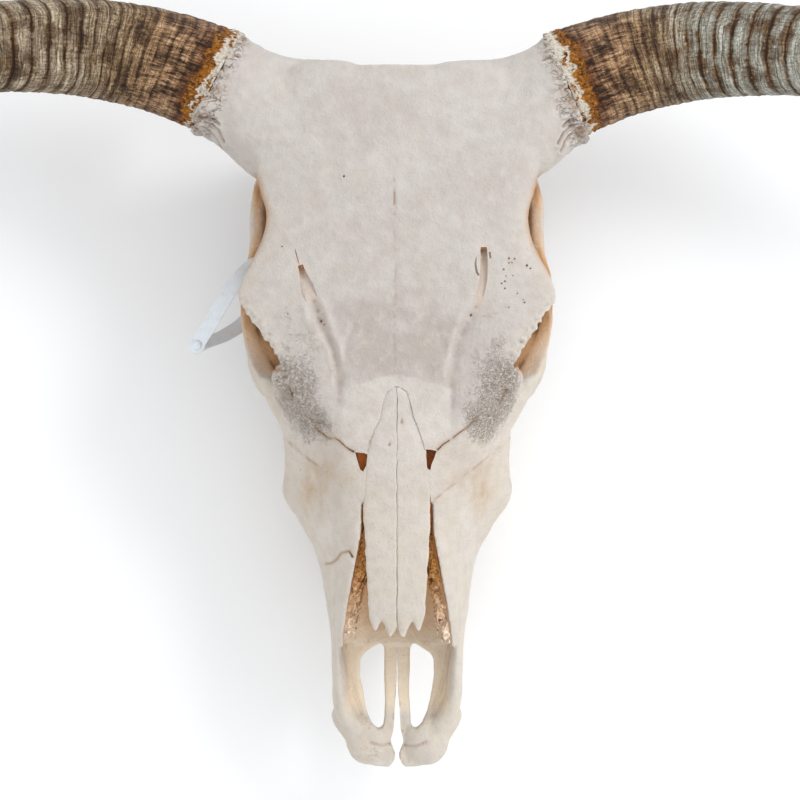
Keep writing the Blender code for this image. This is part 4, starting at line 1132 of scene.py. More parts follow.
def fine_tooth(sign, start, length, width, seed):
    """One cheek tooth with its lobes and ridges."""
    middle = start - length / 2
    side = along(TOOTH_SIDE, middle)
    lobes = 2 if length > 20 else 1
    rings = []
    count = 64
    shares = [0.0, 0.15, 0.3, 0.45, 0.6, 0.72, 0.84, 0.93, 0.98, 1.0]
    for share in shares:
        swell = 0.9 + 0.1 * math.sin(share * math.pi * 0.9)
        inset = 0.5 if share == 1.0 else 0.0
        ring = []
        for i in range(count):
            angle = 2 * math.pi * i / count
            place = power_wave(math.cos(angle), 3.6)
            wave = power_wave(math.sin(angle), 2.6)
            ridges = 0.55 * math.cos(place * math.pi * lobes * 2 + seed) * abs(wave)
            notch = -1.3 * math.exp(-((place - 0.02) / 0.16) ** 2) * abs(wave) if lobes == 2 else 0.0
            run = middle + (length / 2 - 0.5 - inset) * place * swell
            out = side + (width / 2 * wave * swell + math.copysign(ridges + notch, wave)) * (1 - inset * 0.1)
            grinding = along(GRINDING_DEPTH, run)
            height = TOOTH_ROOT * (1 - share)
            wear = 0.0 if share < 1 else 0.6 * math.sin(place * math.pi * lobes)
            ring.append(spot(run, sign * out, min(grinding - height - abs(wear), FLOOR_DEPTH)))
        rings.append(ring)
    return loft("tooth", rings)


def fine_teeth(name, sign):
    """A row of cheek teeth, from the front to the back."""
    start = TOOTH_ROW_FRONT
    row = []
    for n, (length, width) in enumerate(TEETH):
        row.append(fine_tooth(sign, start, length, width, n * 1.7))
        start -= length
    return joined(name, row)


def joined(name, objects):
    """One object that holds the meshes of several, which are used up."""
    bm = bmesh.new()
    for obj in objects:
        bm.from_mesh(obj.data)
        remove(obj)
    mesh = bpy.data.meshes.new(name)
    bm.to_mesh(mesh)
    bm.free()
    return new_object(name, mesh)


def sheet_between(name, tops, bottoms):
    """A closed plate from two like grids of places."""
    bm = bmesh.new()
    up = [[bm.verts.new(place) for place in row] for row in tops]
    down = [[bm.verts.new(place) for place in row] for row in bottoms]
    rows, last = len(up), len(up[0]) - 1
    for i in range(rows - 1):
        for j in range(last):
            bm.faces.new((up[i][j], up[i][j + 1], up[i + 1][j + 1], up[i + 1][j]))
            bm.faces.new((down[i][j], down[i + 1][j], down[i + 1][j + 1], down[i][j + 1]))
        for j in (0, last):
            bm.faces.new((up[i][j], up[i + 1][j], down[i + 1][j], down[i][j]))
    for i in (0, rows - 1):
        for j in range(last):
            bm.faces.new((up[i][j], up[i][j + 1], down[i][j + 1], down[i][j]))
    return object_from_bmesh(name, bm)


def fine_nasal(name, sign):
    """One nasal bone with a crowned upper face, worn edges and two prongs at its free end."""
    prongs = list(zip(NASAL_STATIONS, NASAL_PRONGS))
    shares = [0.0, 0.03] + [0.07 + 0.86 * k / 20 for k in range(21)] + [0.965, 0.985, 1.0, LIP_SHARE]
    tops, bottoms = [], []
    rows = [(run, 0.0) for run in runs_between(*NASAL_RUNS, 1.8)]
    rows += [(NASAL_RUNS[1], (k + 1) / 9) for k in range(9)]
    for run, stretch in rows:
        width = along(NASAL_WIDTH, run)
        middle = along(NASAL_TOP, run)
        drop = NASAL_SIDE_DROP * min(1.0, width / 20)
        top, bottom = [], []
        for share in shares:
            lip = along([(0, 0.7), (284, 0.7), (290, 0.05)], run) if share == LIP_SHARE else 0.0
            share = min(share, 1.0)
            reach = along(prongs, share) * stretch
            side = max(width * share * (1 - 0.03 * stretch), NASAL_INNER) + lip
            worn = 0.9 * max(0.0, (share - 0.93) / 0.07) ** 2 + 0.5 * max(0.0, (0.05 - share) / 0.05) ** 2
            worn = worn * along([(250, 0.1), (285, 0.35), (330, 1.0)], run) + 0.6 * stretch**6 + 0.2 * lip
            level = middle + drop * share**2.2 + 2.2 * stretch
            lower = level + NASAL_THICKNESS - 1.2 * stretch - 0.8 * (1 if share == 1.0 else 0)
            top.append(spot(run + reach, sign * side, level + worn))
            bottom.append(spot(run + reach, sign * side, max(lower, level + worn + 0.8)))
        tops.append(top)
        bottoms.append(bottom)
    bone = stray(sheet_between(name, tops, bottoms))
    places = coordinates(bone)
    normals = directions(bone)
    run, side, depth = measures(places)
    spots = np.stack([run, side, depth], 1)
    move = 0.16 * swells(spots, 12, 41) + 0.08 * swells(spots, 3, 42)
    for pit_run, pit_side, width, deep in NASAL_PITS:
        move -= deep * bump(np.hypot(run - pit_run, side - pit_side), width)
    put_back(bone, places + normals * (move * MM)[:, None])
    return bone


SCROLL_RUN, SCROLL_LENGTH, SCROLL_GIRTH = 338, 90, 34  # where it starts, and its size along and across
SCROLL_SECTION = [(0.4, 3.0), (3.0, 1.6), (6.0, 3.4), (8.4, 7.5), (9.2, 13.0), (8.2, 19.0), (5.4, 22.0)]


def fine_scroll(name, sign):
    """The thin, spongy, ragged scroll of bone inside one side of the nose."""
    profile_in = [(k / 6, place[0]) for k, place in enumerate(SCROLL_SECTION)]
    profile_down = [(k / 6, place[1]) for k, place in enumerate(SCROLL_SECTION)]
    rows, across = ((150, 52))
    bm = bmesh.new()
    grid = []
    for i in range(rows + 1):
        run = SCROLL_RUN + SCROLL_LENGTH * i / rows
        wall = along(NOSE_OPENING, run) - 0.6
        top = along([(338, 24), (385, 26), (428, 36)], run)
        row = []
        for j in range(across + 1):
            share = j / across
            row.append(bm.verts.new(spot(run, sign * (wall - along(profile_in, share)),
                                         top + along(profile_down, share))))
        grid.append(row)
    places = np.array([[(i * SCROLL_LENGTH / rows), j * SCROLL_GIRTH / across, 5.0 * sign]
                       for i in range(rows + 1) for j in range(across + 1)])
    torn = swells(places * np.array([0.6, 1.0, 1.0]), 5.0, 51) * 0.8 + swells(places, 2.4, 52) * 0.6
    torn = torn.reshape(rows + 1, across + 1)
    for i in range(rows):
        for j in range(across):
            wear = 0.44 - 0.34 * i / rows - 0.8 * max(0.0, (i / rows - 0.8) / 0.2) ** 1.5
            if torn[i, j] < wear:
                bm.faces.new((grid[i][j], grid[i][j + 1], grid[i + 1][j + 1], grid[i + 1][j]))
    loose = [vertex for vertex in bm.verts if not vertex.link_faces]
    bmesh.ops.delete(bm, geom=loose, context="VERTS")
    scroll = object_from_bmesh(name, bm)
    places = coordinates(scroll)
    normals = directions(scroll)
    spots = np.stack(measures(places), 1)
    move = 0.9 * swells(spots, 4, 53) + 0.5 * swells(spots, 1.8, 54)
    put_back(scroll, places + normals * (move * MM)[:, None])
    thick = scroll.modifiers.new("thick", "SOLIDIFY")
    thick.thickness = 0.9 * MM
    thick.offset = 0
    applied(scroll)
    run, _, _ = measures(coordinates(scroll))
    layer = scroll.data.attributes.new("tipness", "FLOAT", "POINT")
    layer.data.foreach_set("value", np.clip((run - 372) / 50, 0, 1).astype(np.float32))
    return scroll


RING_STEPS = [(0, 8.0), (40, 9.5), (80, 8.5), (120, 12.0), (180, 15.0), (300, 15.0), (420, 12.0), (560, 10.0)]
RING_HEIGHT = [(0, 0.45), (40, 0.6), (90, 0.8), (140, 1.25), (260, 1.25), (380, 0.8), (480, 0.3), (560, 0.0)]
RING_BULGE = [(0, 0.0), (30, 2.0), (70, 9.0), (120, 15.0), (300, 13.0), (640, 5.0)]


def fine_horn(name, sign, seed):
    """A horn's sheath with its growth rings, fibres and the crust at its root."""
    marks = [0.0]
    for a, b in zip(HORN_COURSE, HORN_COURSE[1:]):
        marks.append(marks[-1] + math.dist(a, b))
    length = marks[-1]
    lines = [[(mark, point[k]) for mark, point in zip(marks, HORN_COURSE)] for k in range(3)]
    run, side, depth = HORN_ROOTS[sign]
    root = spot(run, sign * side, depth)
    first = Vector((sign * math.cos(HORN_TILTS[sign]), math.sin(HORN_TILTS[sign]), 0))

    def middle(reach):
        out, back, up = (along(line, reach) for line in lines)
        return root + Vector((sign * out, back, up)) * MM

    rows, around = ((620, 128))
    creases = [0.0]
    while creases[-1] < length:
        creases.append(creases[-1] + along(RING_STEPS, creases[-1]))
    angles = 2 * np.pi * np.arange(around) / around
    ring_place = np.stack([np.cos(angles), np.sin(angles)], 1)
    grid, straight, crease_marks, reaches = [], [], [], []
    for i in range(rows + 1):
        share = (i / rows) ** 1.12
        reach = length * share
        ahead = (middle(min(reach + 4, length)) - middle(max(reach - 4, 0))).normalized()
        turned_in = min(1.0, reach / ROOT_BLEND)
        ahead = (first * (1 - turned_in) + ahead * turned_in).normalized()
        across = np.array(ahead.cross(Vector((0, 0, 1))).normalized())
        down = np.array(ahead.cross(Vector(across)).normalized())
        radius = HORN_RADIUS * along(HORN_TAPER, share)
        lie = np.stack([np.full(around, reach), ring_place[:, 0] * 40, ring_place[:, 1] * 40], 1)
        bend = lie * np.array([0.35, 1.0, 1.0])
        bulge = along(RING_BULGE, reach) * -ring_place[:, 1]
        shifted = reach + bulge + 3.6 * swells(bend, 40, seed) + 1.0 * swells(bend, 12, seed + 1)
        number = np.clip(np.searchsorted(creases, np.clip(shifted, 0.01, length - 0.01)) - 1, 0, len(creases) - 2)
        low = np.array(creases)[number]
        high = np.array(creases)[number + 1]
        phase = np.clip((shifted - low) / (high - low), 0, 1)
        ridge = np.sin(np.pi * phase) ** 0.6 * (0.7 + 0.3 * phase)
        crease = np.where(phase < 0.5, phase, phase - 1) * (high - low)
        height = along(RING_HEIGHT, reach)
        fine = 0.34 * swells(lie * np.array([1.0, 0.12, 0.12]), 2.4, seed + 2)
        fibre = 0.16 * swells(lie * np.array([0.06, 1.0, 1.0]), 3.4, seed + 3)
        flakes = 0.5 * np.clip(swells(lie, 6, seed + 4) + swells(lie, 2.6, seed + 5) - 0.4, 0, 1)
        fade = min(1.0, max(0.0, (length - reach) / 200))
        lump = np.zeros(around)
        if reach < CRUST_REACH + 8:
            ragged = CRUST_REACH + 3.5 * swells(lie * np.array([0.0, 1.0, 1.0]), 9, seed + 6)
            on = np.clip((ragged - reach) / 2.0, 0, 1)
            lump = on * (0.9 * swells(lie, 3.2, seed + 7) + 0.7 * swells(lie, 2.0, seed + 8) + 0.1)
            lump *= min(1.0, reach / 1.5)
        total = radius - 0.4 + (height * (ridge - 0.55) + fine + fibre - flakes) * fade + lump
        total = np.maximum(total, 0.4) if i < rows else np.full(around, 0.5)
        total = np.minimum(total, radius * 1.022 + 0.35)
        centre = np.array(middle(reach) + first * 0.4 * MM)
        circle = across[None, :] * ring_place[:, :1] + down[None, :] * 0.96 * ring_place[:, 1:]
        grid.append(centre[None, :] + circle * (total * MM)[:, None])
        straight.append(np.stack([shifted, ring_place[:, 0] * radius, ring_place[:, 1] * radius], 1))
        crease_marks.append(crease)
        reaches.append(np.full(around, reach))
    count = (rows + 1) * around
    places = np.concatenate(grid)
    index = np.arange(count).reshape(rows + 1, around)
    nexts = np.roll(index, -1, axis=1)
    faces = np.stack([index[:-1], nexts[:-1], nexts[1:], index[1:]], -1).reshape(-1, 4)
    mesh = bpy.data.meshes.new(name)
    mesh.from_pydata(places.tolist(), [], faces.tolist() + [index[0].tolist(), index[-1].tolist()])
    mesh.update()
    obj = new_object(name, mesh)
    bm = bmesh.new()
    bm.from_mesh(mesh)
    bmesh.ops.recalc_face_normals(bm, faces=bm.faces)
    bm.to_mesh(mesh)
    bm.free()
    layer = mesh.attributes.new("straight", "FLOAT_VECTOR", "POINT")
    layer.data.foreach_set("vector", np.concatenate(straight).astype(np.float32).reshape(-1))
    for mark, values in (("crease", crease_marks), ("reach", reaches)):
        layer = mesh.attributes.new(mark, "FLOAT", "POINT")
        layer.data.foreach_set("value", np.concatenate(values).astype(np.float32))
    return obj


def fine_strip():
    """The tag's strip with slightly rounded edges."""
    stations = smooth_stations(TAG_COURSE, 2.0)
    points = [spot(*station[:3]) for station in stations]
    rings = []
    last = len(points) - 1
    for i, point in enumerate(points):
        ahead = (points[min(i + 1, last)] - points[max(i - 1, 0)]).normalized()
        across = (TAG_ACROSS - ahead * TAG_ACROSS.dot(ahead)).normalized()
        up = ahead.cross(across).normalized()
        half, thick = FINE_STRIP_WIDTH / 2 * MM, TAG_THICKNESS / 2 * MM
        corners = [(half, 0.4), (half - 0.0002, 1), (0, 1), (0.0002 - half, 1), (-half, 0.4), (-half, -0.4),
                   (0.0002 - half, -1), (0, -1), (half - 0.0002, -1), (half, -0.4)]
        rings.append([point + across * wide + up * thick * high for wide, high in corners])
    return loft("strip", rings)


def fine_tag():
    """The tag's strip and eye."""
    band_piece = turned("tag_eye", TAG_RIVET, [(1.4, 5.9), (1.2, 6.3), (0.9, 6.4), (-2.8, 6.4), (-3.1, 6.3),
                                               (-3.3, 5.9)], 72)
    boolean(band_piece, [fine_strip()], "UNION")
    boolean(band_piece, [turned("eye", TAG_RIVET, [(6, 1.9), (-8, 1.9)], 40)], "DIFFERENCE")
    return largest_piece(band_piece)


def fine_rivet():
    """The rivet in the tag's eye, with its domed head."""
    dome = [(3.0 - 1.1 * (1 - math.cos(a)), 3.5 * math.sin(a)) for a in np.linspace(0.12, math.pi / 2, 9)]
    return turned("tag_rivet_head", TAG_RIVET, dome + [(1.8, 3.4), (1.75, 1.5), (-3.8, 1.5), (-3.8, 2.8),
                                                      (-4.5, 2.6), (-4.7, 2.0)], 48)


def plain(red, green, blue):
    """A colour given as a screen shows it, for a shader's sockets."""
    values = [channel / 255 for channel in (red, green, blue)]
    return tuple(v / 12.92 if v <= 0.04045 else ((v + 0.055) / 1.055) ** 2.4 for v in values) + (1.0,)


class Flow:
    """A socket of a finish's nodes, on which sums and products are written as on numbers."""

    def __init__(self, finish, socket):
        self.finish = finish
        self.socket = socket

    def math(self, operation, *values):
        return self.finish.node("ShaderNodeMath", {"operation": operation}, dict(enumerate(values)))

    def __add__(self, other):
        return self.math("ADD", self, other)

    def __radd__(self, other):
        return self.math("ADD", other, self)

    def __sub__(self, other):
        return self.math("SUBTRACT", self, other)

    def __rsub__(self, other):
        return self.math("SUBTRACT", other, self)

    def __mul__(self, other):
        return self.math("MULTIPLY", self, other)

    def __rmul__(self, other):
        return self.math("MULTIPLY", other, self)

    def __truediv__(self, other):
        return self.math("DIVIDE", self, other)

    def __pow__(self, other):
        return self.math("POWER", self, other)

    def size(self):
        return self.math("ABSOLUTE", self)

    def within(self, low, high):
        """0 below the low value, 1 above the high one, smooth between."""
        return self.finish.node(
            "ShaderNodeMapRange", {"interpolation_type": "SMOOTHSTEP", "clamp": True},
            {"Value": self, "From Min": low, "From Max": high, "To Min": 0.0, "To Max": 1.0},
        )


class Finish:
    """A material that is put together from Python expressions."""

    def __init__(self, name, roughness=0.6, metallic=0.0, specular=0.5):
        self.material = bpy.data.materials.new(name)
        self.material.use_nodes = True
        self.tree = self.material.node_tree
        self.shader = self.tree.nodes["Principled BSDF"]
        self.shader.inputs["Roughness"].default_value = roughness
        self.shader.inputs["Metallic"].default_value = metallic
        self.shader.inputs["Specular IOR Level"].default_value = specular

    def node(self, kind, settings=None, sockets=None, output=0):
        """Adds a node: its settings first, then the values or links of its sockets."""
        made = self.tree.nodes.new(kind)
        for key, value in (settings or {}).items():
            if key == "stops":
                ramp = made.color_ramp
                while len(ramp.elements) < len(value):
                    ramp.elements.new(0.5)
                for element, (place, colour) in zip(ramp.elements, value):
                    element.position = place
                    element.color = colour
            else:
                setattr(made, key, value)
        for key, value in (sockets or {}).items():
            if isinstance(value, Flow):
                self.tree.links.new(value.socket, made.inputs[key])
            else:
                made.inputs[key].default_value = value
        return Flow(self, made.outputs[output])

    def mask(self, name):
        return self.node("ShaderNodeAttribute", {"attribute_name": name}, {}, "Fac")

    def place(self):
        return self.node("ShaderNodeTexCoord", {}, {}, "Object")

    def stretched(self, vector, factors):
        return self.node("ShaderNodeVectorMath", {"operation": "MULTIPLY"}, {0: vector, 1: factors})

    def noise(self, vector, scale, detail=3.0, roughness=0.55, distortion=0.0):
        return self.node("ShaderNodeTexNoise", {}, {"Vector": vector, "Scale": scale, "Detail": detail,
                                                    "Roughness": roughness, "Distortion": distortion})

    def cells(self, vector, scale):
        return self.node("ShaderNodeTexVoronoi", {}, {"Vector": vector, "Scale": scale, "Randomness": 1.0})

    def mix(self, share, low, high):
        return self.node("ShaderNodeMix", {"data_type": "RGBA"}, {0: share, 6: low, 7: high}, 2)

    def link(self, socket, flow):
        self.tree.links.new(flow.socket, self.shader.inputs[socket])

    def relief(self, height, distance, strength=1.0):
        self.link("Normal", self.node("ShaderNodeBump", {}, {"Strength": strength, "Distance": distance,
                                                             "Height": height}))

    def on(self, obj):
        obj.data.materials.clear()
        obj.data.materials.append(self.material)
        return obj


# Some of these tones are painted light: greyish ones stand for shade in hollows, grooves, concave places and the
# sinks of the rough patches, pale ones in part for highlight on convex edges, groove banks and granules, and the
# brown orbit and temple tones for shade there, mixed with real warm colour.
BONE_TONES = {name: plain(*tone) for name, tone in {
    "main": (194, 189, 184), "rosy": (185, 178, 174), "dusk": (172, 163, 157), "pale": (210, 204, 197),
    "dull": (182, 173, 162), "grey": (188, 176, 165), "pit": (138, 118, 100), "pale_crumb_and_highlight": (234, 224, 212),
    "flesh": (206, 184, 168), "warm": (210, 162, 112), "shade": (130, 84, 38), "inside": (250, 190, 112),
    "deep": (196, 112, 40), "line": (146, 104, 68), "hollow": (152, 126, 100), "ivory": (232, 214, 188),
    "ember": (250, 150, 50),
}.items()}


def bone_finish(colours):
    """Bleached bone: pinkish grey on the forehead, creamy at its edges, stained, pored and grimed, with painted
    shade in its hollows, grooves and orbits and painted highlight on its edges and granules.
    """
    f = Finish("bleached_bone", 0.58, specular=0.3)
    place = f.place()
    clouds = f.noise(place, 17, 4, 0.6).within(0.35, 0.68)
    blotches = f.noise(place, 62, 4, 0.6).within(0.38, 0.7)
    freckles = f.noise(place, 260, 3, 0.6).within(0.48, 0.70)
    grain = f.noise(place, 520, 4, 0.7)
    dust = f.noise(place, 1500, 2, 0.6)
    crumbs = f.noise(place, 640, 3, 0.65, 0.4).within(0.34, 0.66)
    lumps = f.noise(place, 300, 2, 0.6).within(0.3, 0.7)
    pores = 1.0 - f.cells(place, 300).within(0.06, 0.16)
    pored = f.noise(place, 45, 2).within(0.52, 0.66)
    pores = pores * pored * (0.15 + 0.85 * f.mask("cream"))
    colour = f.mix(clouds * 0.8, BONE_TONES["main"], BONE_TONES["rosy"])
    # Painted shade between the brows, along the brow grooves and in the low places of the bumpy brow.
    colour = f.mix(f.mask("dusk") * 0.85, colour, BONE_TONES["dusk"])
    colour = f.mix(f.mask("cream") * (0.45 + 0.45 * blotches), colour, tuple(colours.bone_cream) + (1.0,))
    # Paler patch below the brows, with painted highlight on the groove banks.
    colour = f.mix(f.mask("pale") * 0.7, colour, BONE_TONES["pale"])
    colour = f.mix(blotches * 0.42, colour, BONE_TONES["dull"])
    colour = f.mix(freckles * 0.3, colour, BONE_TONES["dull"])
    colour = f.mix(f.noise(place, 130, 3, 0.6).within(0.5, 0.75) * 0.3, colour, BONE_TONES["pale"])
    uneven = 0.4 * (lumps - 0.5) + 0.5 * (blotches - 0.5)
    grey = (f.mask("grey") + uneven * 0.4).within(0.05, 1.1)
    rough = (f.mask("rough") + uneven * 0.6).within(0.12, 1.1)
    warp = f.node("ShaderNodeTexNoise", {}, {"Vector": place, "Scale": 500.0, "Detail": 2.0}, "Color")
    warp = f.node("ShaderNodeVectorMath", {"operation": "SCALE"}, {0: warp, "Scale": 0.0018})
    bent = f.node("ShaderNodeVectorMath", {"operation": "ADD"}, {0: place, 1: warp})
    granules = f.noise(bent, 620, 3, 0.6).within(0.5, 0.58)
    sinks = 1.0 - f.noise(bent, 540, 3, 0.6).within(0.4, 0.48)
    crumbs = granules * (0.5 + 0.5 * crumbs)
    colour = f.mix(grey * 0.5, colour, BONE_TONES["grey"])
    # In the rough patches: painted shade in the sinks between granules and painted highlight on the granules, over
    # their own pitted, pale colour.
    colour = f.mix(rough * (0.05 + 0.42 * sinks) * (1.0 - 0.5 * lumps), colour, BONE_TONES["pit"])
    colour = f.mix(rough * crumbs * (0.55 + 0.45 * lumps), colour, BONE_TONES["pale_crumb_and_highlight"])
    fold = f.noise(f.stretched(place, (0.6, 1.0, 1.0)), 210, 3, 0.6, 0.7)
    wrinkles = (1.0 - (fold - 0.5).size().within(0.004, 0.03)) * f.mask("flange").within(0.1, 0.6)
    colour = f.mix(wrinkles * f.noise(place, 120, 2).within(0.36, 0.55) * 0.7, colour, BONE_TONES["line"])
    waves = f.noise(place, 130, 4, 0.62)
    # Painted shade where the swells of the bump relief are low.
    colour = f.mix((1.0 - waves.within(0.36, 0.52)) * 0.22, colour, BONE_TONES["dusk"])
    colour = f.mix(f.mask("ivory") * 0.75, colour, BONE_TONES["ivory"])
    colour = f.mix(f.mask("grime") * (0.35 + 0.6 * blotches), colour, tuple(colours.stain) + (1.0,))
    # Orbits and temples: painted shade with some real warm colour.
    for name, strength in (("flesh", 0.55), ("warm", 0.9), ("shade", 0.62)):
        colour = f.mix(f.mask(name) * strength, colour, BONE_TONES[name])
    inside = f.mask("inside")
    colour = f.mix(inside * 0.92, colour, BONE_TONES["inside"])
    deep = (inside ** 3) * f.noise(place, 110, 3).within(0.4, 0.7)
    colour = f.mix(deep * 0.55, colour, BONE_TONES["deep"])
    colour = f.mix(f.mask("ember"), colour, BONE_TONES["ember"])
    colour = f.mix(f.mask("line") * 0.8, colour, BONE_TONES["line"])
    colour = f.mix(pores * 0.3, colour, BONE_TONES["line"])
    # Painted shade in concave places and painted highlight on convex edges, read from the mesh's curvature.
    hollows = f.node("ShaderNodeNewGeometry", {}, {}, "Pointiness")
    colour = f.mix((1.0 - hollows.within(0.43, 0.495)) * 0.42, colour, BONE_TONES["hollow"])
    colour = f.mix(hollows.within(0.505, 0.56) * 0.4, colour, BONE_TONES["pale"])
    f.link("Base Color", colour)
    f.link("Roughness", 0.5 + 0.14 * grain + 0.12 * grey)
    fine = 0.26 * grain + 0.10 * dust - 0.5 * pores + 1.1 * waves
    f.relief(fine + rough * (1.4 * crumbs + 0.8 * lumps - 0.8 * sinks) - 1.3 * wrinkles, 0.0014, 0.95)
    return f


def scroll_finish():
    """Spongy, stained bone inside the nose, paler at its ragged ends."""
    f = Finish("scroll_bone", 0.75)
    place = f.place()
    sponge = f.noise(place, 420, 4, 0.7)
    tipness = f.mask("tipness")
    holes = f.noise(place, 460, 2, 0.5).within(0.5, 0.6)
    voids = f.noise(f.stretched(place, (1.0, 0.6, 1.0)), 240, 3, 0.5).within(0.54, 0.62)
    colour = f.mix(tipness, plain(250, 176, 78), plain(250, 228, 206))
    colour = f.mix(sponge.within(0.45, 0.65) * 0.55, colour, plain(250, 222, 180))
    colour = f.mix(holes * (0.6 - 0.35 * tipness), colour, plain(160, 90, 26))
    colour = f.mix(voids * 0.5, colour, plain(140, 80, 30))
    f.link("Base Color", colour)
    f.relief(sponge - 1.2 * holes - 2.0 * voids, 0.0010, 0.9)
    return f


def tooth_finish():
    """Worn, stained cheek teeth."""
    f = Finish("cheek_tooth", 0.42)
    place = f.place()
    streaks = f.noise(f.stretched(place, (1.0, 1.0, 0.12)), 420, 4, 0.6)
    blotches = f.noise(place, 70, 3)
    colour = f.mix(blotches.within(0.35, 0.7), plain(214, 200, 168), plain(178, 150, 108))
    colour = f.mix(streaks.within(0.5, 0.72) * 0.7, colour, plain(92, 66, 40))
    f.link("Base Color", colour)
    f.link("Roughness", 0.34 + 0.3 * streaks)
    f.relief(streaks, 0.0004, 0.6)
    return f


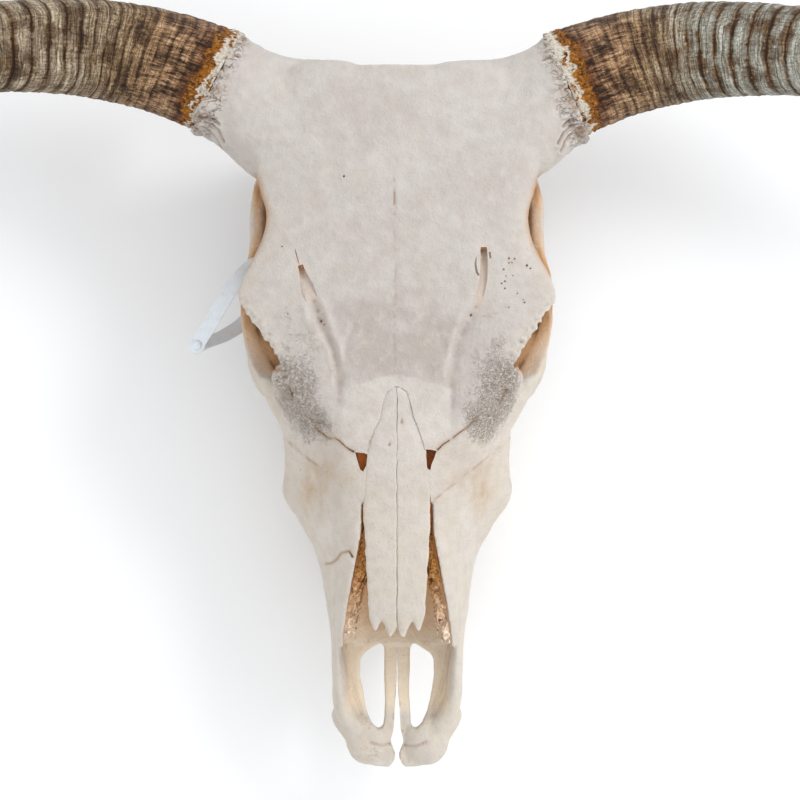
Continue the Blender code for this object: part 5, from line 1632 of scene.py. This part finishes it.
def horn_finish(name, colours, greyness, seed):
    """Horn: fine growth rings, fibres and flakes, brown at the root, greyer outwards, dark at the tip, with painted
    shade in the rings' troughs and creases and painted highlight on their crests and fibres.
    """
    f = Finish(name, 0.6, specular=0.22)
    straight = f.node("ShaderNodeAttribute", {"attribute_name": "straight"}, {}, "Vector")
    straight = f.node("ShaderNodeVectorMath", {"operation": "ADD"}, {0: straight, 1: (0.0, seed, 0.0)})
    reach = f.mask("reach")
    warp = f.node("ShaderNodeTexNoise", {}, {"Vector": straight, "Scale": 0.11, "Detail": 3.0}, "Color")
    warp = f.node("ShaderNodeVectorMath", {"operation": "MULTIPLY_ADD"},
                  {0: warp, 1: (4.0, 10.0, 10.0), 2: (-2.0, -5.0, -5.0)})
    bent = f.node("ShaderNodeVectorMath", {"operation": "ADD"}, {0: straight, 1: warp})
    wobble = f.noise(straight, 0.03, 3)
    rings = f.noise(f.stretched(bent, (0.36, 0.022, 0.022)), 1.0, 5, 0.7)
    thin = f.noise(f.stretched(bent, (0.8, 0.045, 0.045)), 1.0, 3, 0.65)
    fibres = f.noise(f.stretched(straight, (0.07, 0.5, 0.5)), 1.0, 4, 0.7, 0.5)
    blotches = f.noise(bent, 0.05, 4, 0.6)
    speckle = f.noise(f.stretched(straight, (0.7, 1.0, 1.0)), 0.6, 3, 0.7)
    chips = f.noise(bent, 0.3, 3, 0.6)
    share = (reach + (wobble - 0.5) * 40.0) / HORN_LENGTH
    rooty = 1.0 - share.within(0.045, 0.12)
    fibrous = 0.2 + 0.62 * rooty
    away = (f.mask("crease") + (thin - 0.5) * 1.6).size()
    presence = f.noise(f.stretched(straight, (0.12, 0.05, 0.05)), 1.0, 3, 0.6).within(0.36, 0.56)
    presence = presence * (0.55 + 0.45 * share.within(0.03, 0.2))
    crease = (1.0 - away.within(0.25, 0.95)) * presence
    trough = 1.0 - away.within(0.4, 2.8)
    crest = away.within(2.0, 6.0)
    tone = (0.42 * (rings - 0.5) + 0.40 * (thin - 0.5)) * (1.0 - 0.75 * rooty) + fibrous * (fibres - 0.5)
    tone = tone + (0.34 - 0.1 * rooty) * (speckle - 0.5)
    # Painted shade darkens the rings' troughs and painted highlight lightens their crests.
    tone = tone * 2.5 + 0.5 + (blotches - 0.5) * (0.6 + 0.7 * rooty) - 0.13 * trough + 0.10 * crest
    # The palest stops of both ramps partly stand in for painted glints on the fibres.
    brown = f.node("ShaderNodeValToRGB", {"stops": [
        (0.05, plain(28, 17, 9)), (0.28, plain(74, 52, 33)), (0.5, plain(130, 101, 70)),
        (0.68, plain(172, 142, 102)), (0.92, plain(224, 204, 170)),
    ]}, {0: tone})
    grey = f.node("ShaderNodeValToRGB", {"stops": [
        (0.05, plain(44, 34, 25)), (0.28, plain(98, 84, 64)), (0.5, tuple(colours.horn_grey) + (1.0,)),
        (0.68, plain(160, 159, 148)), (0.92, plain(210, 209, 200)),
    ]}, {0: tone})
    outward = share.within(0.07, 0.18) * (1.0 - share.within(0.45, 0.7))
    greyish = (blotches + 0.3 * (chips - 0.5) + 0.10 * crest - 0.1 * trough).within(0.36, 0.52)
    colour = f.mix(greyish * outward * greyness, brown, grey)
    tan = f.mix(tone.within(0.12, 0.95), plain(46, 27, 16), plain(188, 142, 108))
    colour = f.mix(rooty * 0.62, colour, tan)
    colour = f.mix((1.0 - blotches.within(0.38, 0.5)) * share.within(0.02, 0.05) * 0.42, colour, plain(48, 33, 24))
    tip = f.mix(tone.within(0.2, 0.8), plain(22, 17, 15), plain(62, 50, 42))
    colour = f.mix(share.within(0.38, 0.9) * 0.94, colour, tip)
    # Dark lines in the ring creases, partly the horn's own colour and partly painted shade.
    colour = f.mix(crease * 0.85 * (1.0 - share.within(0.5, 0.8)), colour, plain(50, 30, 16))
    chipped = chips.within(0.66, 0.74) * speckle.within(0.45, 0.6) * 0.6
    colour = f.mix(chipped * (1.0 - share.within(0.4, 0.6)), colour, plain(206, 192, 168))
    ragged = f.noise(f.stretched(straight, (0.0, 0.07, 0.07)), 1.0, 3, 0.6)
    flakes = f.noise(straight, 0.34, 4, 0.7)
    lobes = f.noise(f.stretched(straight, (0.05, 0.22, 0.22)), 1.0, 2, 0.5)
    edge = reach + (ragged - 0.5) * 26.0 + (lobes - 0.5) * 12.0 + (flakes - 0.5) * 4.0
    amber = (flakes + 0.6 * (lobes - 0.5)).within(0.34, 0.66)
    crust = f.mix(amber, plain(84, 42, 8), tuple(colours.crust) + (1.0,))
    crust = f.mix(speckle.within(0.5, 0.66) * 0.55, crust, plain(224, 172, 84))
    strip = edge.within(0.4, 1.4) * (1.0 - edge.within(3.4, 4.4)) * blotches.within(0.44, 0.52)
    white = (1.0 - edge.within(CRUST_REACH - 8.2, CRUST_REACH - 7.0)) * (1.0 - strip)
    chalk = f.mix(flakes.within(0.34, 0.5), plain(176, 150, 118), plain(226, 218, 204))
    chalk = f.mix((1.0 - speckle.within(0.32, 0.42)) * 0.8, chalk, plain(120, 84, 48))
    crust = f.mix(white, crust, chalk)
    stain = 1.0 - (edge + (rings - 0.5) * 14.0).within(CRUST_REACH + 0.5, CRUST_REACH + 12.0)
    colour = f.mix(stain * 0.9, colour, f.mix(tone.within(0.2, 0.8), plain(38, 18, 8), plain(116, 66, 30)))
    colour = f.mix(1.0 - (edge + (speckle - 0.5) * 5.0).within(CRUST_REACH - 1.2, CRUST_REACH + 1.6), colour, crust)
    crusty = 1.0 - edge.within(CRUST_REACH, CRUST_REACH + 2.0)
    f.link("Base Color", colour)
    f.link("Roughness", 0.56 - 0.24 * share + 0.16 * rings)
    f.relief(tone * 1.3 + 0.4 * thin - 0.9 * crease + crusty * flakes * 2.2, 0.0012, 0.9)
    return f


def tag_finish(colours):
    """Pale, faintly scuffed tag metal."""
    f = Finish("tag_metal", 0.38, 0.35)
    place = f.place()
    scuffs = f.noise(f.stretched(place, (1.0, 0.2, 1.0)), 1300, 3, 0.6)
    dull = f.noise(place, 140, 3)
    colour = f.mix(scuffs.within(0.5, 0.75) * 0.35, tuple(colours.tag) + (1.0,), plain(182, 190, 200))
    f.link("Base Color", f.mix(dull.within(0.45, 0.7) * 0.3, colour, plain(205, 210, 214)))
    f.link("Roughness", 0.3 + 0.3 * scuffs)
    f.relief(scuffs, 0.0002, 0.3)
    return f


def hand_over(obj, slot, *nodes):
    """Makes a finished piece ride on the skull and stand for its solids; its slot is not used."""
    places = coordinates(obj)
    put_back(obj, np.stack([places[:, 0], places[:, 1], np.maximum(places[:, 2], 0.0)], 1))
    obj.data.polygons.foreach_set("use_smooth", np.ones(len(obj.data.polygons), bool))
    obj.data.set_sharp_from_angle(angle=SHARP_ANGLE)
    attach(obj, "root")
    if nodes:
        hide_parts(*nodes)
    return obj


class SkullSizes(bpy.types.PropertyGroup):
    """How strongly the bone is worked, and the view"""

    relief: bpy.props.FloatProperty(
        name="Relief", description="How strongly the bone's fine forms are carved", default=1.0, min=0.0, max=2.0,
        subtype="FACTOR",
    )
    camera_height: bpy.props.FloatProperty(
        name="Camera height", description="How far the camera hangs above the plane of the forehead", default=2.4,
        unit="LENGTH",
    )
    view_width: bpy.props.FloatProperty(
        name="View width", description="How much of the forehead's plane the camera takes in", default=0.584,
        unit="LENGTH",
    )


class SkullColours(bpy.types.PropertyGroup):
    """The colours that can be changed"""

    bone_cream: bpy.props.FloatVectorProperty(
        name="Creamy bone", description="The bone's colour towards its edges and on the muzzle",
        default=plain(216, 205, 188)[:3], subtype="COLOR", min=0, max=1,
    )
    stain: bpy.props.FloatVectorProperty(
        name="Stain", description="The brown stain on the cheeks and in the bone's hollows",
        default=plain(178, 146, 106)[:3], subtype="COLOR", min=0, max=1,
    )
    horn_grey: bpy.props.FloatVectorProperty(
        name="Grey horn", description="The bluish grey of the horns' outer rings",
        default=plain(128, 124, 112)[:3], subtype="COLOR", min=0, max=1,
    )
    crust: bpy.props.FloatVectorProperty(
        name="Crust", description="The amber crust at the horns' roots",
        default=plain(168, 102, 26)[:3], subtype="COLOR", min=0, max=1,
    )
    tag: bpy.props.FloatVectorProperty(
        name="Tag", description="The tag's metal", default=plain(226, 233, 240)[:3], subtype="COLOR", min=0, max=1,
    )
    floor: bpy.props.FloatVectorProperty(
        name="Floor", description="The plain floor", default=(0.93, 0.945, 0.965), subtype="COLOR", min=0, max=1,
    )


class SKULL_OT_bones(bpy.types.Operator):
    """Shapes, carves and parts the bones of the skull"""

    bl_idname = "skull.bones"
    bl_label = "Bones"

    def execute(self, context):
        finish = bone_finish(context.scene.skull_colours)
        body = fine_skull(context.scene.skull_sizes.relief)
        body.name = "braincase_bone"
        found = []
        for side, sign in SIDES:
            for bone, region in regions(sign):
                found.append((part_off(body, f"{bone}_bone_{side}", region()), f"{bone}_{side}"))
        nape = prism("region", [(-40, 70), (62, 70), (100, 112), (100, 220), (-40, 220)], -200, 200, "profile")
        found.append((part_off(body, "occiput_bone", nape), "occiput"))
        found.append((largest_piece(body), "cranium"))
        for side, sign in SIDES:
            found.append((fine_nasal(f"nasal_bone_{side}", sign), f"nasal_{side}"))
        for bone, node in found:
            mark_bone(bone)
            hand_over(finish.on(bone), "bone", node)
        return {"FINISHED"}


class SKULL_OT_teeth(bpy.types.Operator):
    """Sets the two rows of cheek teeth"""

    bl_idname = "skull.teeth"
    bl_label = "Cheek teeth"

    def execute(self, context):
        finish = tooth_finish()
        for side, sign in SIDES:
            hand_over(finish.on(fine_teeth(f"cheek_teeth_{side}", sign)), "bone")
        return {"FINISHED"}


class SKULL_OT_scrolls(bpy.types.Operator):
    """Puts the ragged scrolls of bone into the nose"""

    bl_idname = "skull.scrolls"
    bl_label = "Nose scrolls"

    def execute(self, context):
        finish = scroll_finish()
        for side, sign in SIDES:
            hand_over(finish.on(fine_scroll(f"nose_scroll_{side}", sign)), "scroll_bone", f"turbinate_{side}")
        return {"FINISHED"}


class SKULL_OT_horns(bpy.types.Operator):
    """Grows the ringed horns"""

    bl_idname = "skull.horns"
    bl_label = "Horns"

    def execute(self, context):
        colours = context.scene.skull_colours
        for side, sign, greyness, seed in HORN_SHEATHS:
            sheath = fine_horn(f"horn_sheath_{side}", sign, seed)
            finish = horn_finish(f"horn_{side}_finish", colours, greyness, float(seed))
            hand_over(finish.on(sheath), "horn", f"horn_{side}")
        return {"FINISHED"}


class SKULL_OT_tag(bpy.types.Operator):
    """Loops the bare tag round the cheek arch"""

    bl_idname = "skull.tag"
    bl_label = "Tag"

    def execute(self, context):
        finish = tag_finish(context.scene.skull_colours)
        hand_over(finish.on(fine_tag()), "tag_metal", "tag_band")
        hand_over(finish.on(fine_rivet()), "tag_metal", "tag_rivet")
        return {"FINISHED"}


LIGHTS = (  # name, place, size and power
    ("key", (1.8, 1.4, 2.0), 0.9, 27), ("fill", (-1.6, 1.2, 2.4), 2.6, 1.0), ("front", (2.0, -0.7, 1.5), 1.6, 9),
)
LIGHTS_AIM = Vector((0, 0, 0.1))
VIEW_CENTRE = (248, 2.2)  # run and side of the place under the camera


class SKULL_OT_stage(bpy.types.Operator):
    """Sets the plain floor, the soft lights and the camera straight above"""

    bl_idname = "skull.stage"
    bl_label = "Stage"

    def execute(self, context):
        scene = context.scene
        sizes, colours = scene.skull_sizes, scene.skull_colours
        bm = bmesh.new()
        bmesh.ops.create_grid(bm, x_segments=1, y_segments=1, size=6.0)
        floor = object_from_bmesh("floor", bm)
        ground = Finish("plain_floor", 0.9)
        place = ground.place()
        tone = ground.noise(place, 3, 2).within(0.3, 0.7) * 0.02
        ground.link("Base Color", ground.mix(tone, tuple(colours.floor) + (1.0,), (0.8, 0.8, 0.8, 1.0)))
        ground.on(floor)
        scene.view_settings.view_transform = "Standard"
        world = bpy.data.worlds.new("soft_world")
        world.use_nodes = True
        world.node_tree.nodes["Background"].inputs["Color"].default_value = (1.0, 1.0, 1.0, 1.0)
        world.node_tree.nodes["Background"].inputs["Strength"].default_value = 1.0
        scene.world = world
        for name, where, size, power in LIGHTS:
            data = bpy.data.lights.new(name, "AREA")
            data.shape = "DISK"
            data.size = size
            data.energy = power
            lamp = bpy.data.objects.new(name, data)
            scene.collection.objects.link(lamp)
            lamp.location = where
            lamp.rotation_euler = (Vector(where) - LIGHTS_AIM).to_track_quat("Z", "Y").to_euler()
        data = bpy.data.cameras.new("camera")
        data.sensor_width = 36.0
        data.lens = data.sensor_width * sizes.camera_height / sizes.view_width
        camera = bpy.data.objects.new("camera", data)
        camera.location = spot(*VIEW_CENTRE, 0) + Vector((0, 0, sizes.camera_height))
        scene.collection.objects.link(camera)
        scene.camera = camera
        return {"FINISHED"}


class SKULL_PT_panel(bpy.types.Panel):
    """The steps and their settings in the sidebar"""

    bl_idname = "SKULL_PT_panel"
    bl_label = "Longhorn skull"
    bl_space_type = "VIEW_3D"
    bl_region_type = "UI"
    bl_category = "Skull"

    def draw(self, context):
        for operator in OPERATORS:
            self.layout.operator(operator.bl_idname)
        for group in (context.scene.skull_sizes, context.scene.skull_colours):
            for name in group.__annotations__:
                self.layout.prop(group, name)


OPERATORS = (SKULL_OT_bones, SKULL_OT_teeth, SKULL_OT_scrolls, SKULL_OT_horns, SKULL_OT_tag, SKULL_OT_stage)
CLASSES = (SkullSizes, SkullColours) + OPERATORS + (SKULL_PT_panel,)


def register():
    for each in CLASSES:
        bpy.utils.register_class(each)
    bpy.types.Scene.skull_sizes = bpy.props.PointerProperty(type=SkullSizes)
    bpy.types.Scene.skull_colours = bpy.props.PointerProperty(type=SkullColours)


def unregister():
    del bpy.types.Scene.skull_colours
    del bpy.types.Scene.skull_sizes
    for each in reversed(CLASSES):
        bpy.utils.unregister_class(each)


def main():
    """Builds the whole."""
    register()
    bpy.ops.skull.bones()
    bpy.ops.skull.teeth()
    bpy.ops.skull.scrolls()
    bpy.ops.skull.horns()
    bpy.ops.skull.tag()
    bpy.ops.skull.stage()


if __name__ == "__main__":
    main()
